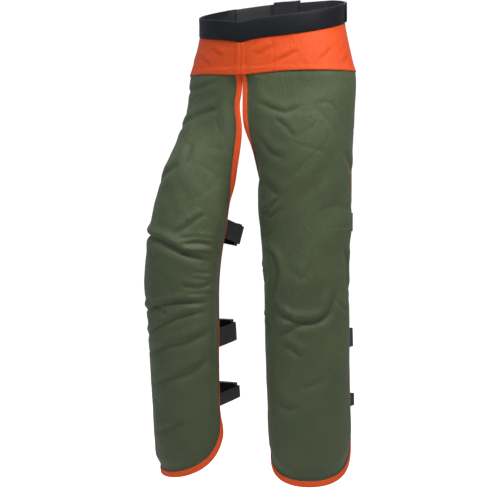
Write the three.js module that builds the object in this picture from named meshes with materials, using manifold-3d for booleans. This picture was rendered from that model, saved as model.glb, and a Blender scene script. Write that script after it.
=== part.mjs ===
// Chainsaw chaps of the apron kind: a waistband and yoke carry two padded leg panels that
// cover the front of the legs, and webbing straps with side-release buckles close them
// behind. The chaps are laid out as they are worn, with the wearer's right knee forward.
// Millimetres, +Z up. The wearer faces -Y and their left side is +X. The origin is the
// middle of the wearer's waist, at half the height of the waistband.
import * as THREE from 'three';
import { mergeVertices } from 'three/addons/utils/BufferGeometryUtils.js';
import Module from 'manifold-3d';

const wasm = await Module();
wasm.setup();

// ---- driving dimensions ----

const waistHalfWidth = 160;
const waistHalfDepth = 112;
const hipHalfWidth = 189; // at the seam between yoke and legs
const hipHalfDepth = 114;

const flareDrop = 58; // below the waist: the yoke is upright down to here, then widens
const seamDrop = 112; // where the yoke ends and the legs begin
const crotchDrop = 252;
const midThighDrop = 360;
const kneeDrop = 500;
const calfDrop = 700;
const hemDrop = 940; // lowest point of the hem

const hipHalf = [102, 110]; // half width and half depth of a leg at each drop
const crotchHalf = [95, 108];
const midThighHalf = [97, 98];
const kneeHalf = [91, 90];
const calfHalf = [89, 88];
const hemHalf = [88, 87];

const outerWrap = 125; // degrees from the front round the outside to the rear edge
const crotchWrap = 50; // degrees from the front round the inside, at each drop
const midThighWrap = 78;
const kneeWrap = 95;
const calfWrap = 85;
const hemWrap = 75;

const hemCorner = 125; // height of the rounded corners at the hem
const hemRoundness = 2.2; // power of the hem's curve, 2 being an ellipse
const outerMergeEnd = 330; // below here a leg's outside is free of the hips' shape
const innerMergeStart = 185; // its inner edge hangs from the centre down to here
const innerMergeEnd = 400; // and is free of the hips' shape below here
const innerMergeShare = 0.35; // how far across the panel the inner edge's rule reaches

const bandHeight = 40;
const bandThickness = 3;
const bandSlope = 0.24; // the band rides up towards the back by this share of the depth
const bandDip = 7; // extra dip at the centre front
const bandDipAngle = 28; // degrees either side over which the dip fades out
const bandOverlap = 12; // the yoke runs this far up behind the band
const yokeThickness = 2.4;
const placketHalfWidth = 10;
const placketThickness = 1.4;

const liningThickness = 1;
const padThickness = 7;
const padEdgeThickness = 1.5;
const shellThickness = 1.2;
const bindingThickness = 1;
const bindingWidth = 11;
const padInset = 22; // the pad stops this far from the panel's sides
const padSlopeEnd = 45; // and is full thickness from here inwards
const panelHalfWidth = 165; // about half of a leg panel's width, for even columns
const seamAllowance = 12; // strip at the sides where shell and lining lie together

const beltWidth = 38;
const legStrapWidth = 38;
const ankleStrapWidth = 25;
const webbingThickness = 1.8;
const strapTuck = 26; // length of strap sewn to the inside of the panel
const thighStrapDrop = 415;
const calfStrapDrop = 653;
const ankleStrapDrop = 781;
const legStrapFlat = 54; // half length of the straight run across the back of a leg
const beltFlat = 76; // half length of the straight run across the back of the waist
const beltTuck = 40; // length of belt webbing sewn over the end of the waistband
const beltLift = 0.6; // what its flat run stands off the curved band

const socketInset = 10; // from the start of the straight run to the socket
const bendPull = [0.42, 0.62]; // how the webbing rounds the corner behind the leg
const buckleWall = 2;
const buckleSide = 4; // width of the buckle beyond the webbing, at each side
const pocketDepth = 9; // how far the webbing's end reaches into the socket
const buckleRun = 22; // how far the clip's prongs reach into the socket
const clipGrip = 27; // length of the clip's body, which the webbing passes through
const prongWidth = 5;
const prongThickness = 4;
const prongRoot = 2; // how far the prongs run on into the clip's body
const windowInset = 4; // from the foot of the prongs' channel to the side windows
const windowRun = 10;

const layerGap = 0.3; // between pieces that lie against each other
const foldGap = 0.5; // between a panel's faces and the binding folded over them
const thighStrapGap = 2.3; // between flat webbing and the panel's twisting edge
const shinStrapGap = 1.8;
const slideGap = 0.4; // between the clip and what it slides in or on
const kneeGap = 0.15; // half the gap between thigh and shin pieces
const seamGap = 0.15; // half the gap between the yoke and the leg panels
const centreGap = 2; // from the middle plane to each panel's inner edge
const yokeGap = 0.5; // and to each half of the yoke

// ---- the wearer's stance: where the axis of each leg runs, as [x, y] ----

const stances = {
  right: { side: -1, hip: [-88, -5], knee: [-147, -96], ankle: [-147, -48] },
  left: { side: 1, hip: [88, -5], knee: [85, 0], ankle: [95, 5] },
};

// ---- colours ----

const olive = new THREE.MeshStandardMaterial({ color: 0x4b553c, roughness: 0.55, metalness: 0 });
const orange = new THREE.MeshStandardMaterial({ color: 0xf05a23, roughness: 0.7, metalness: 0 });
const black = new THREE.MeshStandardMaterial({ color: 0x17181c, roughness: 0.8, metalness: 0 });
const grey = new THREE.MeshStandardMaterial({ color: 0x3c3f45, roughness: 0.85, metalness: 0 });
const cream = new THREE.MeshStandardMaterial({ color: 0xd8d2bd, roughness: 0.95, metalness: 0 });
const plastic = new THREE.MeshStandardMaterial({ color: 0x101114, roughness: 0.4, metalness: 0 });

const chaps = new THREE.Group();

function addPiece(name, geometry, material) {
  const mesh = new THREE.Mesh(geometry, material);
  mesh.name = name;
  chaps.add(mesh);
  return mesh;
}

// ---- small helpers ----

const radians = THREE.MathUtils.degToRad;
const mix = THREE.MathUtils.lerp;

function mixPoints(a, b, share) {
  return a.map((value, i) => mix(value, b[i], share));
}

// Closes a geometry: joins equal corners, drops flat triangles and turns the faces outwards.
function closeUp(positions, triangles) {
  let geometry = new THREE.BufferGeometry();
  geometry.setAttribute('position', new THREE.Float32BufferAttribute(positions, 3));
  geometry.setIndex(triangles);
  geometry = mergeVertices(geometry, 1e-3);
  const corners = geometry.index.array;
  const spots = geometry.attributes.position.array;
  const kept = [];
  let volume = 0;
  for (let i = 0; i < corners.length; i += 3) {
    const [a, b, c] = [corners[i], corners[i + 1], corners[i + 2]];
    if (a === b || b === c || c === a) continue;
    kept.push(a, b, c);
    const [pa, pb, pc] = [a, b, c].map((k) => new THREE.Vector3().fromArray(spots, 3 * k));
    volume += pa.dot(pb.cross(pc));
  }
  if (volume < 0) kept.reverse();
  geometry.setIndex(kept);
  geometry.computeVertexNormals();
  return geometry;
}

// A thin solid between two grids of points, pointAt(row, column, face) with face 0 or 1.
// Each four-cornered cell is split from its upper outer corner to its lower inner one, the
// same way in every layer, so that layers which lie together never cross. With meetsItself
// the last row folds onto itself, as the two halves of a rounded hem do.
function sheetSolid(rows, columns, pointAt, meetsItself = false) {
  const positions = [];
  const triangles = [];
  const at = (row, column, face) => (face * rows + row) * columns + column;
  for (let face = 0; face < 2; face++) {
    for (let row = 0; row < rows; row++) {
      for (let column = 0; column < columns; column++) {
        positions.push(...pointAt(row, column, face));
      }
    }
  }
  const quad = (a, b, c, d) => triangles.push(a, b, c, a, c, d);
  for (let row = 0; row + 1 < rows; row++) {
    for (let column = 0; column + 1 < columns; column++) {
      for (let face = 0; face < 2; face++) {
        const corners = [at(row, column, face), at(row + 1, column, face),
          at(row + 1, column + 1, face), at(row, column + 1, face)];
        if (column >= (columns - 1) / 2) corners.push(corners.shift());
        if (face === 1) corners.splice(1, 3, corners[3], corners[2], corners[1]);
        quad(...corners);
      }
    }
    quad(at(row, 0, 0), at(row, 0, 1), at(row + 1, 0, 1), at(row + 1, 0, 0));
    const last = columns - 1;
    quad(at(row, last, 0), at(row + 1, last, 0), at(row + 1, last, 1), at(row, last, 1));
  }
  for (let column = 0; column + 1 < columns; column++) {
    const last = rows - 1;
    quad(at(0, column, 0), at(0, column + 1, 0), at(0, column + 1, 1), at(0, column, 1));
    if (meetsItself) continue;
    quad(at(last, column, 0), at(last, column, 1), at(last, column + 1, 1),
      at(last, column + 1, 0));
  }
  return closeUp(positions, triangles);
}

// A solid swept through rings that all have the section's corners, one ring for each step.
// Its cells are split as those of the sheets are, by depth and by the row of each step.
function sweptSolid(rings, section, steps) {
  const count = section.length;
  const triangles = [];
  for (let step = 0; step + 1 < rings.length; step++) {
    const downwards = steps[step + 1].row > steps[step].row;
    for (let i = 0; i < count; i++) {
      const j = (i + 1) % count;
      const [a, b] = [step * count + i, step * count + j];
      const inwards = section[j][0] > section[i][0];
      if (inwards === downwards) triangles.push(a, b, b + count, a, b + count, a + count);
      else triangles.push(a, b, a + count, b, b + count, a + count);
    }
  }
  const outline = section.map(([d, o]) => new THREE.Vector2(d, o));
  const end = (rings.length - 1) * count;
  for (const [a, b, c] of THREE.ShapeUtils.triangulateShape(outline, [])) {
    triangles.push(a, c, b, a + end, b + end, c + end);
  }
  return closeUp(rings.flat(2), triangles);
}

function toSolid(geometry) {
  const bare = geometry.clone();
  bare.deleteAttribute('normal');
  bare.deleteAttribute('uv');
  const merged = mergeVertices(bare);
  return new wasm.Manifold(new wasm.Mesh({
    numProp: 3,
    vertProperties: new Float32Array(merged.attributes.position.array),
    triVerts: new Uint32Array(merged.index.array),
  }));
}

function toGeometry(solid) {
  const mesh = solid.getMesh();
  const geometry = new THREE.BufferGeometry();
  geometry.setAttribute('position', new THREE.BufferAttribute(mesh.vertProperties, 3));
  geometry.setIndex(new THREE.BufferAttribute(mesh.triVerts, 1));
  geometry.computeVertexNormals();
  return geometry;
}

// A box from its two opposite corners, as a solid to join and cut.
function block(low, high) {
  const size = low.map((value, i) => high[i] - value);
  const middle = low.map((value, i) => (high[i] + value) / 2);
  return toSolid(new THREE.BoxGeometry(...size).translate(...middle));
}

// ---- the worn shape ----

// The hips at a drop below the waist, at an angle from the front, out by an offset.
function hipPoint(side, angle, drop, offset) {
  const share = Math.max(0, (drop - flareDrop) / (seamDrop - flareDrop));
  const halfWidth = mix(waistHalfWidth, hipHalfWidth, share) + offset;
  const halfDepth = mix(waistHalfDepth, hipHalfDepth, share) + offset;
  return [side * halfWidth * Math.sin(angle), -halfDepth * Math.cos(angle)];
}

const stations = [
  { drop: seamDrop, half: hipHalf, wrap: crotchWrap },
  { drop: crotchDrop, half: crotchHalf, wrap: crotchWrap },
  { drop: midThighDrop, half: midThighHalf, wrap: midThighWrap },
  { drop: kneeDrop, half: kneeHalf, wrap: kneeWrap },
  { drop: calfDrop, half: calfHalf, wrap: calfWrap },
  { drop: hemDrop, half: hemHalf, wrap: hemWrap },
];

// A value read smoothly between the stations, by a curve through all of them.
function alongLeg(drop, valueOf) {
  let i = 0;
  while (i + 2 < stations.length && drop > stations[i + 1].drop) i += 1;
  const from = stations[i];
  const to = stations[i + 1];
  const before = stations[Math.max(i - 1, 0)];
  const after = stations[Math.min(i + 2, stations.length - 1)];
  const span = to.drop - from.drop;
  const startSlope = (valueOf(to) - valueOf(before)) / (to.drop - before.drop || span);
  const endSlope = (valueOf(after) - valueOf(from)) / (after.drop - from.drop || span);
  const t = (drop - from.drop) / span;
  return valueOf(from) * (1 + 2 * t) * (1 - t) ** 2 + valueOf(to) * t * t * (3 - 2 * t)
    + span * (startSlope * t * (1 - t) ** 2 - endSlope * t * t * (1 - t));
}

function legCentre(stance, drop) {
  if (drop < kneeDrop) {
    return mixPoints(stance.hip, stance.knee, (drop - seamDrop) / (kneeDrop - seamDrop));
  }
  return mixPoints(stance.knee, stance.ankle, (drop - kneeDrop) / (hemDrop - kneeDrop));
}

// A point of the leg panel: share runs from 0 at its inner edge to 1 at its outer edge.
function legPoint(stance, drop, share, offset) {
  const wrap = alongLeg(drop, (s) => s.wrap);
  const angle = radians(mix(-wrap, outerWrap, share));
  const [x, y] = legCentre(stance, drop);
  const legX = x + stance.side * (alongLeg(drop, (s) => s.half[0]) + offset) * Math.sin(angle);
  const legY = y - (alongLeg(drop, (s) => s.half[1]) + offset) * Math.cos(angle);
  const innerAngle = Math.asin(centreGap / hipHalfWidth);
  const hipAngle = mix(innerAngle, radians(outerWrap), share);
  const hip = hipPoint(stance.side, hipAngle, seamDrop, offset);
  const away = Math.min(1, Math.max(0, share) / innerMergeShare);
  const mergeStart = mix(innerMergeStart, seamDrop, away);
  const mergeEnd = mix(innerMergeEnd, outerMergeEnd, away);
  const own = THREE.MathUtils.smoothstep(drop, mergeStart, mergeEnd);
  return [...mixPoints(hip, [legX, legY], own), -drop];
}

const widthSteps = 40;

function distance(a, b) {
  return Math.hypot(...a.map((value, i) => value - b[i]));
}

// Running length across the panel at each of widthSteps + 1 even shares.
function runningWidths(stance, drop) {
  const lengths = [0];
  let last = legPoint(stance, drop, 0, 0);
  for (let i = 1; i <= widthSteps; i++) {
    const next = legPoint(stance, drop, i / widthSteps, 0);
    lengths.push(lengths[i - 1] + distance(last, next));
    last = next;
  }
  return lengths;
}

function shareAt(lengths, length) {
  let i = 0;
  while (i + 1 < widthSteps && length > lengths[i + 1]) i += 1;
  return (i + (length - lengths[i]) / (lengths[i + 1] - lengths[i])) / widthSteps;
}

// A point at a depth in from the nearest edge. Rows run down the side and, from row
// sideRows on, round the hem's corner to the middle of the hem. fromOuter picks the half.
function panelPoint(stance, section, row, depth, fromOuter, offset) {
  let drop = mix(section.top, section.bottom, Math.min(row / section.sideRows, 1));
  const halfWidth = runningWidths(stance, drop)[widthSteps] / 2;
  const inset = depth === Infinity ? halfWidth : Math.min(depth, halfWidth);
  let across = halfWidth - inset;
  if (row > section.sideRows) {
    const turn = (row - section.sideRows) / section.hemRows * Math.PI / 2;
    const drape = (hemDrop - section.bottom) * (1 - inset / halfWidth);
    drop += drape * Math.sin(turn) ** (2 / hemRoundness);
    across *= Math.max(Math.cos(turn), 0) ** (2 / hemRoundness);
  }
  const lengths = runningWidths(stance, drop);
  const middle = lengths[widthSteps] / 2;
  const share = shareAt(lengths, fromOuter ? middle + across : middle - across);
  return legPoint(stance, drop, share, offset);
}

// ---- leg panels: lining, pad and shell, closed by a folded binding round the edge ----

const thigh = {
  name: 'thigh',
  top: seamDrop + seamGap,
  bottom: kneeDrop - kneeGap,
  sideRows: 14,
  hemRows: 0,
};
const shin = {
  name: 'shin',
  top: kneeDrop + kneeGap,
  bottom: hemDrop - hemCorner,
  sideRows: 6,
  hemRows: 6,
};

const layFlat = padThickness + layerGap; // how far the shell drops where there is no pad
const liningOut = -(shellThickness + 2 * layerGap + padThickness);
const liningIn = liningOut - liningThickness;
const padIn = liningOut + layerGap;

const innerDepths = [1 / 3, 2 / 3].map((share) => mix(padSlopeEnd, panelHalfWidth, share));
const panelDepths = [0, seamAllowance, padInset, padSlopeEnd, ...innerDepths, Infinity];

function padThicknessAt(depth) {
  if (depth < padInset) return 0;
  if (depth < padSlopeEnd) return padEdgeThickness;
  return padThickness;
}

function shellOffset(depth) {
  if (depth < padInset) return -layFlat;
  return padThicknessAt(depth) - padThickness;
}

// One layer of a panel, between two offsets that depend on the depth in from the edge.
function panelLayer(stance, section, depths, outside, inside) {
  const columns = 2 * depths.length - 1;
  const rows = section.sideRows + section.hemRows + 1;
  const pointAt = (row, column, face) => {
    const fromOuter = column >= depths.length;
    const depth = depths[fromOuter ? columns - 1 - column : column];
    const offset = face === 0 ? outside(depth) : inside(depth);
    return panelPoint(stance, section, row, depth, fromOuter, offset);
  };
  return sheetSolid(rows, columns, pointAt, section.hemRows > 0);
}

const bindingSection = (() => {
  const shellFace = -layFlat + foldGap;
  const liningFace = liningIn - foldGap;
  const web = -layerGap;
  return [
    [bindingWidth, shellFace + bindingThickness],
    [web - bindingThickness, shellFace + bindingThickness],
    [web - bindingThickness, liningFace - bindingThickness],
    [bindingWidth, liningFace - bindingThickness],
    [bindingWidth, liningFace],
    [web, liningFace],
    [web, shellFace],
    [bindingWidth, shellFace],
  ];
})();

function bindingAlong(stance, section, steps) {
  const rings = steps.map(({ row, fromOuter }) => bindingSection.map(
    ([depth, offset]) => panelPoint(stance, section, row, depth, fromOuter, offset),
  ));
  return sweptSolid(rings, bindingSection, steps);
}

function rowsDown(section, fromOuter) {
  const count = section.sideRows + section.hemRows;
  return Array.from({ length: count + 1 }, (_, row) => ({ row, fromOuter }));
}

function addPanel(owner, stance, section) {
  const name = `${owner}_${section.name}`;
  const padDepths = panelDepths.filter((depth) => depth >= padInset);
  addPiece(`${name}_shell`, panelLayer(stance, section, panelDepths, shellOffset,
    (depth) => shellOffset(depth) - shellThickness), olive);
  addPiece(`${name}_pad`, panelLayer(stance, section, padDepths,
    (depth) => padIn + padThicknessAt(depth), () => padIn), cream);
  addPiece(`${name}_lining`, panelLayer(stance, section, panelDepths, () => liningOut,
    () => liningIn), grey);
  const inner = rowsDown(section, false);
  const outer = rowsDown(section, true);
  if (section.hemRows > 0) {
    const round = [...inner, ...outer.reverse().slice(1)];
    addPiece(`${name}_binding`, bindingAlong(stance, section, round), orange);
    return;
  }
  addPiece(`${name}_inner_binding`, bindingAlong(stance, section, inner), orange);
  addPiece(`${name}_outer_binding`, bindingAlong(stance, section, outer), orange);
}

for (const [owner, stance] of Object.entries(stances)) {
  addPanel(owner, stance, thigh);
  addPanel(owner, stance, shin);
}

// ---- waistband, yoke and the placket that joins the yoke's halves ----

function bandDrop(angle, y) {
  const dip = Math.max(0, 1 - Math.abs(angle) / radians(bandDipAngle));
  return bandDip * dip * dip - bandSlope * y;
}

const bandSteps = 32;

function waistbandPoint(row, column, face) {
  const angle = radians(mix(-outerWrap, outerWrap, column / bandSteps));
  const offset = layerGap + (face === 0 ? bandThickness : 0);
  const [x, y] = hipPoint(1, angle, 0, offset);
  return [x, y, bandHeight * (0.5 - row) - bandDrop(angle, y)];
}

addPiece('waistband', sheetSolid(2, bandSteps + 1, waistbandPoint), black);

const yokeSteps = 16;
const yokeRows = 5;

function yokePoint(side, row, column, face) {
  const firstAngle = Math.asin(yokeGap / hipHalfWidth);
  const angle = mix(firstAngle, radians(outerWrap), column / yokeSteps);
  const topY = hipPoint(side, angle, 0, 0)[1];
  const top = bandDrop(angle, topY) + bandHeight / 2 - bandOverlap;
  const drop = row === 0 ? top : mix(flareDrop, seamDrop - seamGap, (row - 1) / (yokeRows - 2));
  const [x, y] = hipPoint(side, angle, drop, face === 0 ? 0 : -yokeThickness);
  return [x, y, -drop];
}

for (const [owner, { side }] of Object.entries(stances)) {
  const pointAt = (row, column, face) => yokePoint(side, row, column, face);
  addPiece(`${owner}_yoke`, sheetSolid(yokeRows, yokeSteps + 1, pointAt), orange);
}

const placketSteps = 4;

function placketPoint(row, column, face) {
  const across = mix(-placketHalfWidth, placketHalfWidth, column / placketSteps);
  const angle = across / waistHalfWidth;
  const underBand = bandDrop(0, -waistHalfDepth - bandThickness) + bandHeight / 2 + layerGap;
  const drop = row === 0 ? underBand
    : mix(flareDrop, seamDrop - seamGap, (row - 1) / (yokeRows - 2));
  const offset = layerGap + (face === 0 ? placketThickness : 0);
  return [...hipPoint(1, angle, drop, offset), -drop];
}

addPiece('yoke_placket', sheetSolid(yokeRows, placketSteps + 1, placketPoint), orange);

// ---- webbing: a flat strip along a path seen from above ----

// The strip's outline is its path pushed out to both sides by half the thickness.
function webbingGeometry(path, width) {
  const normals = path.map((point, i) => {
    const before = path[Math.max(i - 1, 0)];
    const after = path[Math.min(i + 1, path.length - 1)];
    const along = new THREE.Vector2().subVectors(after, before).normalize();
    return new THREE.Vector2(along.y, -along.x).multiplyScalar(webbingThickness / 2);
  });
  const outside = path.map((point, i) => point.clone().add(normals[i]));
  const inside = path.map((point, i) => point.clone().sub(normals[i]));
  const outline = new THREE.Shape([...outside, ...inside.reverse()]);
  const options = { depth: width, bevelEnabled: false, steps: 1 };
  return new THREE.ExtrudeGeometry(outline, options).translate(0, 0, -width / 2);
}

// From the tucked points on the panel, round a corner, to a straight run that ends at `to`.
function strapPath(tucked, corner, to) {
  const start = tucked[tucked.length - 1];
  const control = new THREE.Vector2(mix(start.x, corner.x, bendPull[0]),
    mix(start.y, corner.y, bendPull[1]));
  const bend = new THREE.QuadraticBezierCurve(start, control, corner);
  return [...tucked.slice(0, -1), ...bend.getPoints(7), to];
}

// ---- side-release buckle, lying along X with its socket at the low end ----

// The webbing runs at y = 0 and the prongs above it, so that the clip can slide along its
// own webbing while it leaves the socket.
function buckleSizes(width) {
  const inside = width + 2 * slideGap;
  const slot = webbingThickness / 2 + slideGap;
  return {
    sides: [-inside / 2 - buckleSide, inside / 2 + buckleSide],
    faces: [-slot - buckleWall, slot + prongThickness + slideGap + buckleWall],
    slotSides: [-inside / 2, inside / 2],
    slotFaces: [-slot, slot],
    prongFaces: [slot, slot + prongThickness],
    channelFaces: [slot - slideGap, slot + prongThickness + slideGap],
    socketLength: pocketDepth + buckleWall + buckleRun + slideGap,
    prongSide: inside / 2 - slideGap,
  };
}

function slab(along, faces, sides) {
  return block([along[0], faces[0], sides[0]], [along[1], faces[1], sides[1]]);
}

// The socket: open at its high end for the prongs, with a window in each side to squeeze
// them, and a pocket at its low end that holds the end of the webbing.
function buckleSocket(width) {
  const size = buckleSizes(width);
  const end = size.socketLength;
  const mouth = pocketDepth + buckleWall;
  const window = [mouth + windowInset, mouth + windowInset + windowRun];
  const across = [size.sides[0] - 1, size.sides[1] + 1];
  const solid = slab([0, end], size.faces, size.sides)
    .subtract(slab([mouth, end + 1], size.channelFaces, size.slotSides))
    .subtract(slab([-1, pocketDepth], size.slotFaces, size.slotSides))
    .subtract(slab(window, size.prongFaces, across));
  return toGeometry(solid);
}

// The clip: a body that the webbing threads through, and two prongs.
function buckleClip(width) {
  const size = buckleSizes(width);
  const start = size.socketLength + slideGap;
  const end = start + clipGrip;
  const prong = [start - buckleRun, start + prongRoot];
  const solid = slab([start, end], size.faces, size.sides)
    .subtract(slab([start - 1, end + 1], size.slotFaces, size.slotSides))
    .add(slab(prong, size.prongFaces, [size.prongSide - prongWidth, size.prongSide]))
    .add(slab(prong, size.prongFaces, [-size.prongSide, prongWidth - size.prongSide]));
  return toGeometry(solid);
}

// A buckle and its two strips of webbing, in the strap's own level frame, then turned and
// moved by `place`. Both tucked lists run towards the strap's free end.
function addStrap(name, width, flat, back, tuckedInner, tuckedOuter, side, place) {
  const size = buckleSizes(width);
  const socketStart = -side * (flat - socketInset);
  const innerCorner = new THREE.Vector2(-side * flat, back);
  const outerCorner = new THREE.Vector2(side * flat, back);
  const innerEnd = new THREE.Vector2(socketStart + side * (pocketDepth - slideGap), back);
  const clipStart = socketStart + side * (size.socketLength + slideGap);
  const outerEnd = new THREE.Vector2(clipStart + side * (prongRoot + slideGap), back);
  const turn = new THREE.Matrix4().makeTranslation(socketStart, back, 0);
  if (side < 0) turn.multiply(new THREE.Matrix4().makeRotationY(Math.PI));
  const seat = (geometry) => geometry.applyMatrix4(place);
  const inner = strapPath(tuckedInner, innerCorner, innerEnd);
  const outer = strapPath(tuckedOuter, outerCorner, outerEnd);
  addPiece(`${name}_inner_webbing`, seat(webbingGeometry(inner, width)), black);
  addPiece(`${name}_outer_webbing`, seat(webbingGeometry(outer, width)), black);
  addPiece(`${name}_socket`, seat(buckleSocket(width).applyMatrix4(turn)), plastic);
  addPiece(`${name}_clip`, seat(buckleClip(width).applyMatrix4(turn)), plastic);
}

// ---- leg straps: square to the leg, tucked against the lining at both edges ----

function addLegStrap(owner, stance, name, drop, width, gap) {
  const [x, y] = legCentre(stance, drop);
  const [xBelow, yBelow] = legCentre(stance, drop + 1);
  const down = new THREE.Vector3(xBelow - x, yBelow - y, -1).normalize();
  const up = down.clone().negate();
  const across = new THREE.Vector3(0, 1, 0).cross(up).normalize();
  const ahead = up.clone().cross(across);
  const place = new THREE.Matrix4().makeBasis(across, ahead, up).setPosition(x, y, -drop);
  const back = place.clone().invert();
  const offset = liningIn - foldGap - bindingThickness - gap - webbingThickness / 2;
  const onPanel = (depth, fromOuter) => {
    let level = drop;
    const point = new THREE.Vector3();
    for (let attempt = 0; attempt < 6; attempt++) {
      const lengths = runningWidths(stance, level);
      const length = fromOuter ? lengths[widthSteps] - depth : depth;
      const share = shareAt(lengths, length);
      point.fromArray(legPoint(stance, level, share, offset)).applyMatrix4(back);
      level += point.z;
    }
    return new THREE.Vector2(point.x, point.y);
  };
  const tuckDepths = [strapTuck, strapTuck / 2, 0];
  const tuckedInner = tuckDepths.map((depth) => onPanel(depth, false));
  const tuckedOuter = tuckDepths.map((depth) => onPanel(depth, true));
  const backY = alongLeg(drop, (s) => s.half[1]) - webbingThickness;
  addStrap(`${owner}_${name}`, width, legStrapFlat, backY, tuckedInner, tuckedOuter,
    stance.side, place);
}

for (const [owner, stance] of Object.entries(stances)) {
  addLegStrap(owner, stance, 'thigh_strap', thighStrapDrop, legStrapWidth, thighStrapGap);
  addLegStrap(owner, stance, 'calf_strap', calfStrapDrop, legStrapWidth, shinStrapGap);
  addLegStrap(owner, stance, 'ankle_strap', ankleStrapDrop, ankleStrapWidth, shinStrapGap);
}

// ---- waist belt: webbing sewn over the ends of the waistband, buckled at the back ----

const beltOffset = 2 * layerGap + bandThickness + beltLift + webbingThickness / 2;
const beltTurn = beltTuck / waistHalfDepth / 2;

function beltTucked(side) {
  return [2, 1, 0].map((step) => {
    const angle = radians(outerWrap) - beltTurn * step;
    return new THREE.Vector2(...hipPoint(side, angle, 0, beltOffset));
  });
}

const beltSlope = new THREE.Matrix4().makeShear(0, 0, 0, bandSlope, 0, 0);
addStrap('belt', beltWidth, beltFlat, waistHalfDepth, beltTucked(-1), beltTucked(1), 1,
  beltSlope);

export default chaps;
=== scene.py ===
import math
import bpy
import numpy as np
from mathutils import Matrix, Vector


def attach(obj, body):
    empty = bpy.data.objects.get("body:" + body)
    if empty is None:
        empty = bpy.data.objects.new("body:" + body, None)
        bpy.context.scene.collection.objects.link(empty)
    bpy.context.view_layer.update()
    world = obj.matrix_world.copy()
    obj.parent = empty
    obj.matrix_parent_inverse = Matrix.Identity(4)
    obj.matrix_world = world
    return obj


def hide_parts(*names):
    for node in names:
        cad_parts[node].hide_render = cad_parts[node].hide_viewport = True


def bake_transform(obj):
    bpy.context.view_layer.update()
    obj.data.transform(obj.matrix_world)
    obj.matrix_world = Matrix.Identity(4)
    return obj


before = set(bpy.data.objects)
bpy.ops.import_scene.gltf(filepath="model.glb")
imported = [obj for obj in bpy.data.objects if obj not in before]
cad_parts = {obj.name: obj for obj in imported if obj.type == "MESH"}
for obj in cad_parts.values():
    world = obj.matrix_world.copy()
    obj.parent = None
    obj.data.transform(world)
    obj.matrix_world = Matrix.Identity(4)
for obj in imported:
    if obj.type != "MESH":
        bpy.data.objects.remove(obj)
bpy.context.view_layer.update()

# ---- Studio ----------------------------------------------------------------------------
# A white studio: a pale floor below the hems and white air all round, a soft lamp to the
# right of the camera and weaker ones to the left, above and behind.
scene = bpy.context.scene
scene.view_settings.view_transform = "Standard"


def screen_colour(red, green, blue):
    """A colour as it looks on a screen, 0 to 255, for a shader."""
    def linear(value):
        value /= 255
        return value / 12.92 if value <= 0.04045 else ((value + 0.055) / 1.055) ** 2.4
    return (linear(red), linear(green), linear(blue), 1.0)


def seen_from(azimuth, elevation, distance, target):
    """Where to stand to see a target from a direction, and how to turn towards it."""
    turn, rise = math.radians(azimuth), math.radians(elevation)
    away = Vector((math.sin(turn) * math.cos(rise), -math.cos(turn) * math.cos(rise),
                   math.sin(rise)))
    return Vector(target) + away * distance, away.to_track_quat("Z", "Y")


view_target = (-0.0365, -0.0246, -0.472)
camera_data = bpy.data.cameras.new("studio_camera")
camera_data.lens = 120
camera_data.sensor_width = 36
camera = bpy.data.objects.new("studio_camera", camera_data)
camera.rotation_mode = "QUATERNION"
camera.location, camera.rotation_quaternion = seen_from(34, 2, 3.433, view_target)
scene.collection.objects.link(camera)
scene.camera = camera

lamp_target = (-0.03, -0.02, -0.22)
for lamp, azimuth, elevation, distance, size, power, tint in (
        ("key_lamp", 70, 46, 1.45, 0.7, 20, (1.0, 0.985, 0.96)),
        ("fill_lamp", -20, 36, 2.2, 0.9, 8, (0.95, 0.97, 1.0)),
        ("back_lamp", 205, 40, 2.6, 1.4, 18, (0.95, 0.97, 1.0)),
        ("top_lamp", 20, 62, 1.35, 0.8, 10, (1.0, 1.0, 1.0))):
    lamp_data = bpy.data.lights.new(lamp, "AREA")
    lamp_data.size = size
    lamp_data.energy = power
    lamp_data.color = tint
    lamp_object = bpy.data.objects.new(lamp, lamp_data)
    lamp_object.rotation_mode = "QUATERNION"
    lamp_object.location, lamp_object.rotation_quaternion = seen_from(
        azimuth, elevation, distance, lamp_target)
    scene.collection.objects.link(lamp_object)

world = bpy.data.worlds.new("studio_air")
world.use_nodes = True
scene.world = world
air = world.node_tree
air.nodes["Background"].inputs["Color"].default_value = (0.94, 0.97, 1.0, 1)
air.nodes["Background"].inputs["Strength"].default_value = 0.31
white_air = air.nodes.new("ShaderNodeBackground")
white_air.inputs["Color"].default_value = (1, 1, 1, 1)
white_air.inputs["Strength"].default_value = 1.1
seen_air = air.nodes.new("ShaderNodeLightPath")
pick_air = air.nodes.new("ShaderNodeMixShader")
air.links.new(seen_air.outputs["Is Camera Ray"], pick_air.inputs["Fac"])
air.links.new(air.nodes["Background"].outputs[0], pick_air.inputs[1])
air.links.new(white_air.outputs[0], pick_air.inputs[2])
air.links.new(pick_air.outputs[0], air.nodes["World Output"].inputs["Surface"])

floor_drop = 1.06
floor_mesh = bpy.data.meshes.new("studio_floor")
floor_mesh.from_pydata([(-9, -9, -floor_drop), (9, -9, -floor_drop), (9, 9, -floor_drop),
                        (-9, 9, -floor_drop)], [], [(0, 1, 2, 3)])
studio_floor = bpy.data.objects.new("studio_floor", floor_mesh)
scene.collection.objects.link(studio_floor)
floor_paint = bpy.data.materials.new("pale_floor_paint")
floor_paint.use_nodes = True
paint = floor_paint.node_tree.nodes["Principled BSDF"]
paint.inputs["Base Color"].default_value = (0.80, 0.80, 0.80, 1)
paint.inputs["Roughness"].default_value = 0.9
seen_floor = floor_paint.node_tree.nodes.new("ShaderNodeLightPath")
floor_paint.node_tree.links.new(seen_floor.outputs["Is Camera Ray"],
                                paint.inputs["Emission Color"])
paint.inputs["Emission Strength"].default_value = 0.85
floor_mesh.materials.append(floor_paint)

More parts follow.
